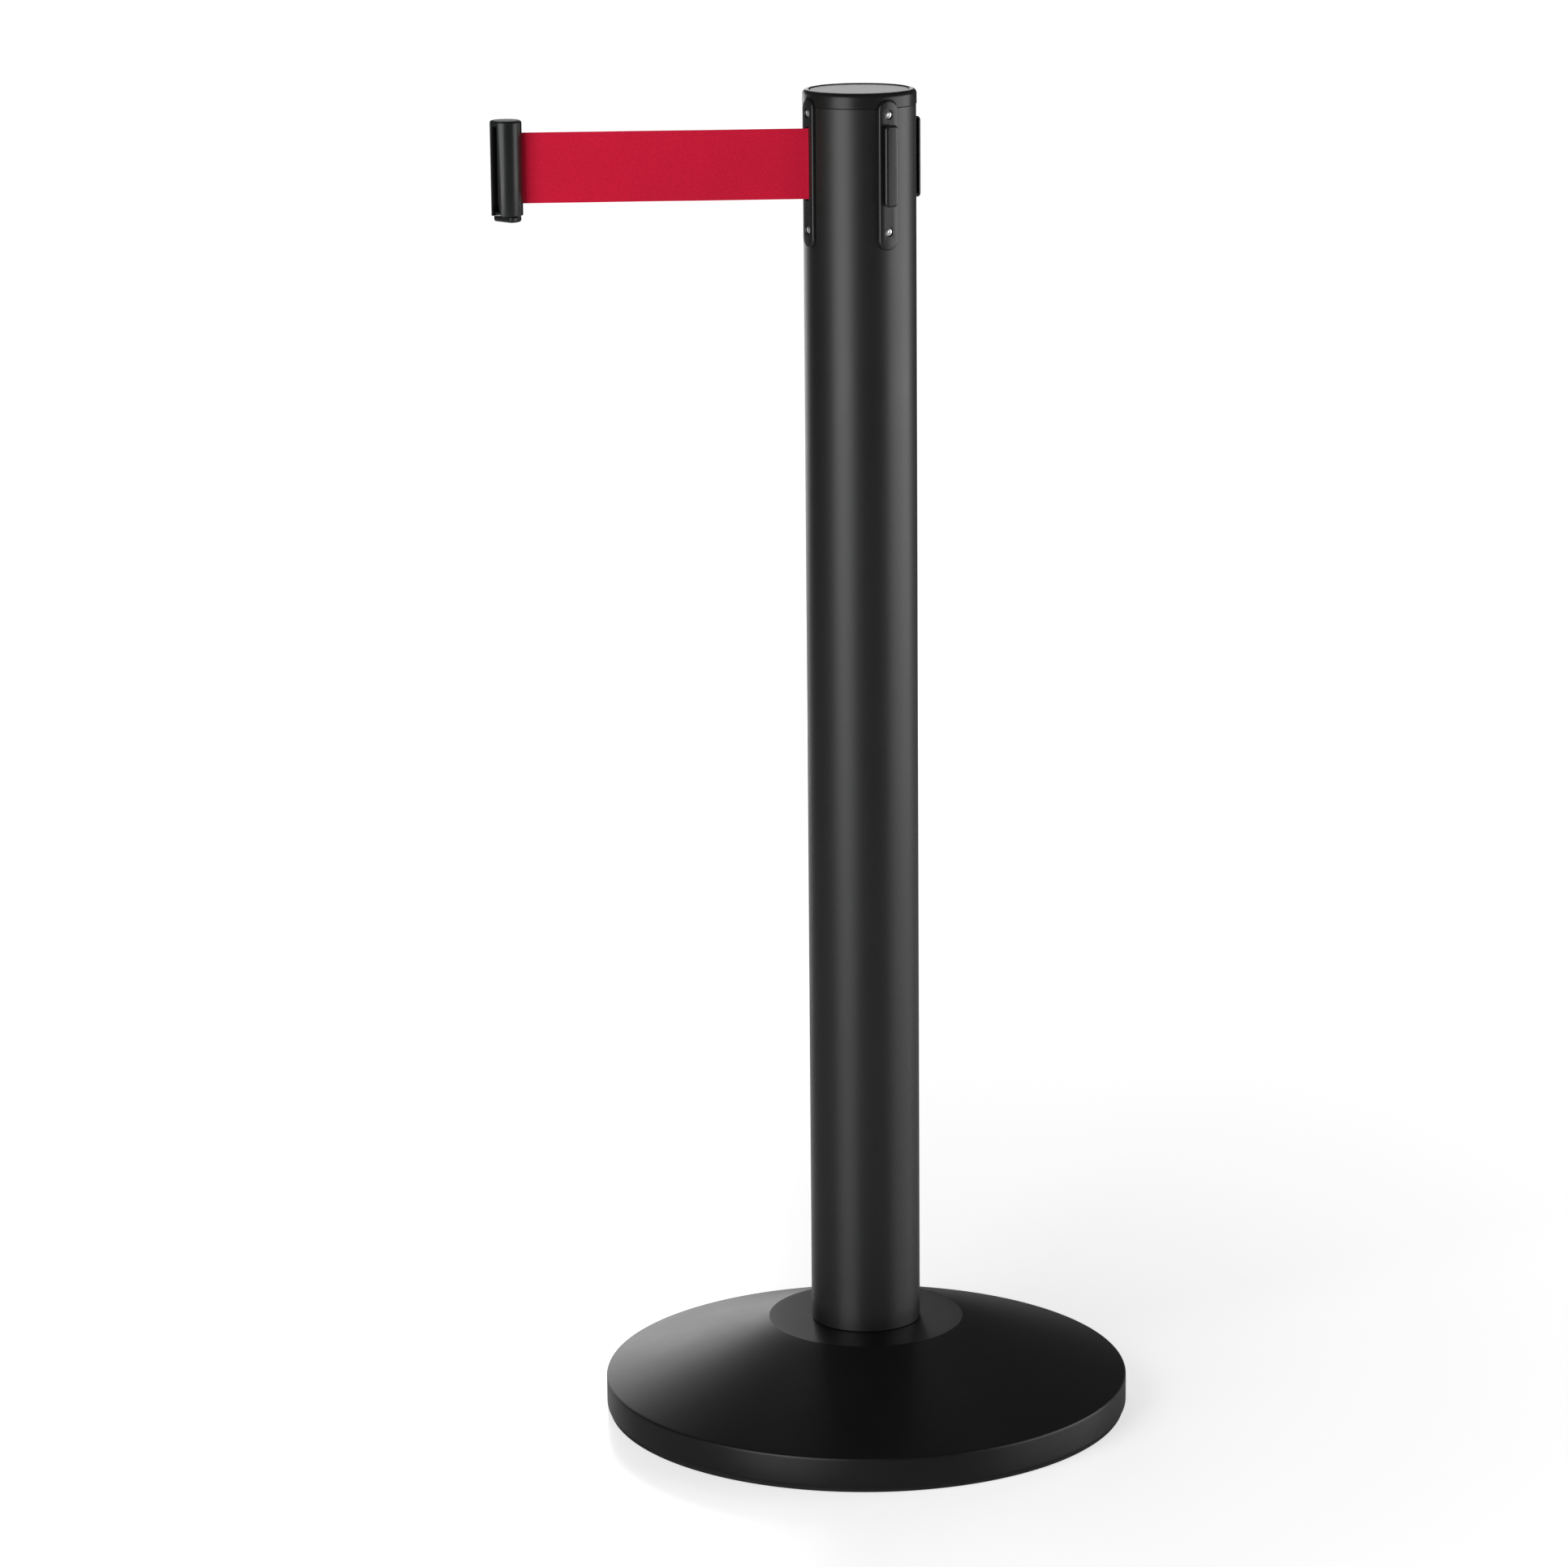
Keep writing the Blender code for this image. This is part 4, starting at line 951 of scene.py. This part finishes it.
def groove_cutters():
    """The T-groove in the clip's foot that the lock slides in."""
    back, front = CLIP_CENTRE - 9.1 * MM, CLIP_CENTRE + 2 * MM
    ledge = CLIP_BOTTOM + 0.9 * MM
    neck = box("groove_neck", (back, -2 * MM, CLIP_BOTTOM - MM), (front, 2 * MM, ledge + 0.5 * MM))
    head = box("groove_head", (back, -3.5 * MM, ledge), (front, 3.5 * MM, GROOVE_TOP))
    return [neck, head]


def clip_shell(materials):
    """The end clip: a round moulded body with the T-channel down its front."""
    shell = clip_blank(materials["clip_plastic"])
    carve(shell, [*channel_cutters(), *pocket_cutters(), *groove_cutters()])
    soften(shell, 0.22 * MM)
    place_on_pin(shell)
    stand_in(shell, "clip", "black_plastic", "clip_body")


def lock_slider(materials):
    """The lock under the clip: a plate with grips and side dimples, on a tongue that slides in the groove."""
    back = CLIP_CENTRE - LOCK_RADIUS
    low = LOCK_LOW.z
    high = low + 3.7 * MM
    levels = ((low, 1.0), (low + 0.3 * MM, 0.45), (low + MM, 0.0), (high - 0.4 * MM, 0.0), (high, 0.3))
    rings = []
    for z, inset in levels:
        outline = flattened_circle(LOCK_RADIUS, LOCK_FLAT, inset * MM, 0.5 * MM)
        rings.append([(x, y, z) for x, y in outline])
    lock = lofted("lock_slider", rings, materials["clip_plastic"])
    rib_front, rib_back = CLIP_CENTRE + 0.2 * MM, CLIP_CENTRE - 4.3 * MM
    ledge = CLIP_BOTTOM + 1.2 * MM
    neck = box("rib_neck", (rib_back, -1.7 * MM, high - 0.5 * MM), (rib_front, 1.7 * MM, ledge + 0.2 * MM))
    tongue = box("rib_head", (rib_back, -3.2 * MM, ledge), (TONGUE_FRONT, 3.2 * MM, GROOVE_TOP - 0.3 * MM))
    carve(lock, [neck, tongue], "UNION")
    cutters = []
    for i in range(4):
        x = back + (1.6 + 1.5 * i) * MM
        cutters.append(box(f"grip_{i}", (x, -3.6 * MM, low - MM), (x + 0.7 * MM, 3.6 * MM, low + 0.5 * MM)))
    for i, azimuth in enumerate((math.radians(97), math.radians(-97))):
        profile = rod(0.75 * MM, LOCK_RADIUS - 2.5 * MM, LOCK_RADIUS + MM)
        dimple = radial(turned(f"dimple_{i}", profile, None, 20, half_step=True), low + 1.9 * MM, azimuth)
        dimple.location.x = CLIP_CENTRE
        cutters.append(dimple)
    carve(lock, cutters)
    soften(lock, 0.15 * MM)
    place_on_pin(lock)
    stand_in(lock, "lock", "black_plastic", "clip_lock")


def lock_spring(materials):
    """The lock's return spring."""
    axis = Vector((math.cos(CLIP_AZIMUTH), math.sin(CLIP_AZIMUTH), 0.0))
    side = Vector((-axis.y, axis.x, 0.0))
    up = Vector((0.0, 0.0, 1.0))
    height = (CLIP_BOTTOM + 1.2 * MM + GROOVE_TOP - 0.3 * MM) / 2
    front = CLIP_CENTRE - 4.6 * MM
    back = CLIP_CENTRE - 8.8 * MM
    turns, steps = 5, 16
    coil, wire, sides = 0.42 * MM, 0.13 * MM, 8
    count = turns * steps
    centres = []
    for i in range(count + 1):
        angle = math.tau * i / steps
        along = front - wire + (back - front + 2 * wire) * i / count
        spot = PIN + axis * along + up * height
        centres.append(spot + side * (coil * math.cos(angle)) + up * (coil * math.sin(angle)))
    rings = []
    for i, centre in enumerate(centres):
        tangent = (centres[min(i + 1, count)] - centres[max(i - 1, 0)]).normalized()
        outward = tangent.cross(axis).normalized()
        second = tangent.cross(outward).normalized()
        ring = []
        for k in range(sides):
            turn = math.tau * k / sides
            offset = outward * (wire * math.cos(turn)) + second * (wire * math.sin(turn))
            ring.append(centre + offset)
        rings.append(ring)
    spring = lofted("lock_coil", rings, materials["spring_steel"])
    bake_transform(spring)
    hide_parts("lock_spring")


# ---------------------------------------------------------------- stage, light and camera


STAGE_GLOW = (0.60, 1.02)  # where the floor starts and ends turning white, from the post's axis
STAGE_RADIUS = 12.0
VIEW_AZIMUTH = math.radians(-28.3)
CAMERA_PLACE = Vector((-0.0543, -3.5575, 1.2865))
CAMERA_PITCH = math.radians(13.2515)
CAMERA_ROLL = math.radians(-0.515)
CAMERA_LENS = 122.0
CAMERA_SENSOR = 36.0


def seen_from_camera(x, y, z=0.0):
    """A place given with +Y away from the camera and +X to its right, in the row frame."""
    return Matrix.Rotation(VIEW_AZIMUTH, 4, "Z") @ Vector((x, y, z))


def make_camera():
    data = bpy.data.cameras.new("camera")
    data.sensor_width = CAMERA_SENSOR
    data.lens = CAMERA_LENS
    camera = bpy.data.objects.new("camera", data)
    bpy.context.scene.collection.objects.link(camera)
    forward = Vector((0.0, math.cos(CAMERA_PITCH), -math.sin(CAMERA_PITCH)))
    level_right = Vector((1.0, 0.0, 0.0))
    level_up = level_right.cross(forward)
    right = level_right * math.cos(CAMERA_ROLL) + level_up * math.sin(CAMERA_ROLL)
    up = level_up * math.cos(CAMERA_ROLL) - level_right * math.sin(CAMERA_ROLL)
    turn = Matrix((right, up, -forward)).transposed().to_4x4()
    place = Matrix.Translation(CAMERA_PLACE) @ turn
    camera.matrix_world = Matrix.Rotation(VIEW_AZIMUTH, 4, "Z") @ place
    bpy.context.scene.camera = camera


def softbox(name, azimuth, distance, centre_z, width, height, radiance, aim_z=0.55):
    """An area light at an azimuth from the camera's side, positive to the right, aimed at the post."""
    data = bpy.data.lights.new(name, "AREA")
    data.shape = "RECTANGLE"
    data.size = width
    data.size_y = height
    data.energy = radiance * width * height * math.pi
    light = bpy.data.objects.new(name, data)
    bpy.context.scene.collection.objects.link(light)
    turn = math.radians(azimuth)
    place = seen_from_camera(distance * math.sin(turn), -distance * math.cos(turn), centre_z)
    light.location = place
    light.rotation_euler = (Vector((0.0, 0.0, aim_z)) - place).to_track_quat("-Z", "Y").to_euler()
    light.visible_camera = False


def make_stage():
    """A pale floor and a white studio round it."""
    n = Nodes("stage_white")
    n.fix(Base_Color=(0.86, 0.86, 0.86, 1.0), Roughness=0.24, Specular_IOR_Level=0.5)
    n.fix(Emission_Color=(1.0, 1.0, 1.0, 1.0))
    seen = n.add("ShaderNodeLightPath").outputs["Is Camera Ray"]
    span = n.add("ShaderNodeVectorMath", {"Vector": n.coords}, operation="LENGTH").outputs["Value"]
    glow = n.spread(span, STAGE_GLOW[0], STAGE_GLOW[1], 0.25, 2.6)
    n.drive(Emission_Strength=n.math("MULTIPLY", seen, glow))
    floor = turned("floor", rod(STAGE_RADIUS, 0.0, -0.02), n.material, 96)
    floor.location.z = -0.0002

    world = bpy.data.worlds.new("studio")
    bpy.context.scene.world = world
    world.use_nodes = True
    tree = world.node_tree
    background = tree.nodes["Background"]
    background.inputs["Color"].default_value = (1.0, 1.0, 1.0, 1.0)
    path = tree.nodes.new("ShaderNodeLightPath")
    strength = tree.nodes.new("ShaderNodeMapRange")
    tree.links.new(path.outputs["Is Camera Ray"], strength.inputs["Value"])
    strength.inputs["To Min"].default_value = 0.06
    strength.inputs["To Max"].default_value = 1.1
    tree.links.new(strength.outputs["Result"], background.inputs["Strength"])


def make_lights():
    """Two panels in front on the left, one on the right, one low behind and a small one for the disc."""
    softbox("front_left_box", -37, 2.3, 1.02, 1.5, 1.9, 3.75)
    softbox("front_left_low_box", -37, 2.25, 0.32, 1.5, 0.5, 1.8, aim_z=0.2)
    softbox("right_box", 88, 2.2, 0.66, 2.5, 1.2, 3.3)
    softbox("back_left_box", -158, 2.6, 0.64, 1.8, 1.2, 2.35, aim_z=0.1)
    softbox("disc_box", 180, 1.2, 1.15, 0.36, 0.42, 2.2, aim_z=0.92)
    bpy.context.scene.view_settings.view_transform = "Standard"


def main():
    make_camera()
    materials = make_materials()
    paint_nodes(materials)
    base_shell(materials)
    floor_gasket(materials)
    weight_disc(materials)
    tube_skin(materials)
    cap_ring(materials)
    cap_inlay(materials)
    outlet_plate(materials)
    receiver_plates(materials)
    plate_screws(materials)
    wound_roll(materials)
    belt(materials)
    belt_loop(materials)
    clip_shell(materials)
    lock_slider(materials)
    lock_spring(materials)
    make_stage()
    make_lights()


main()
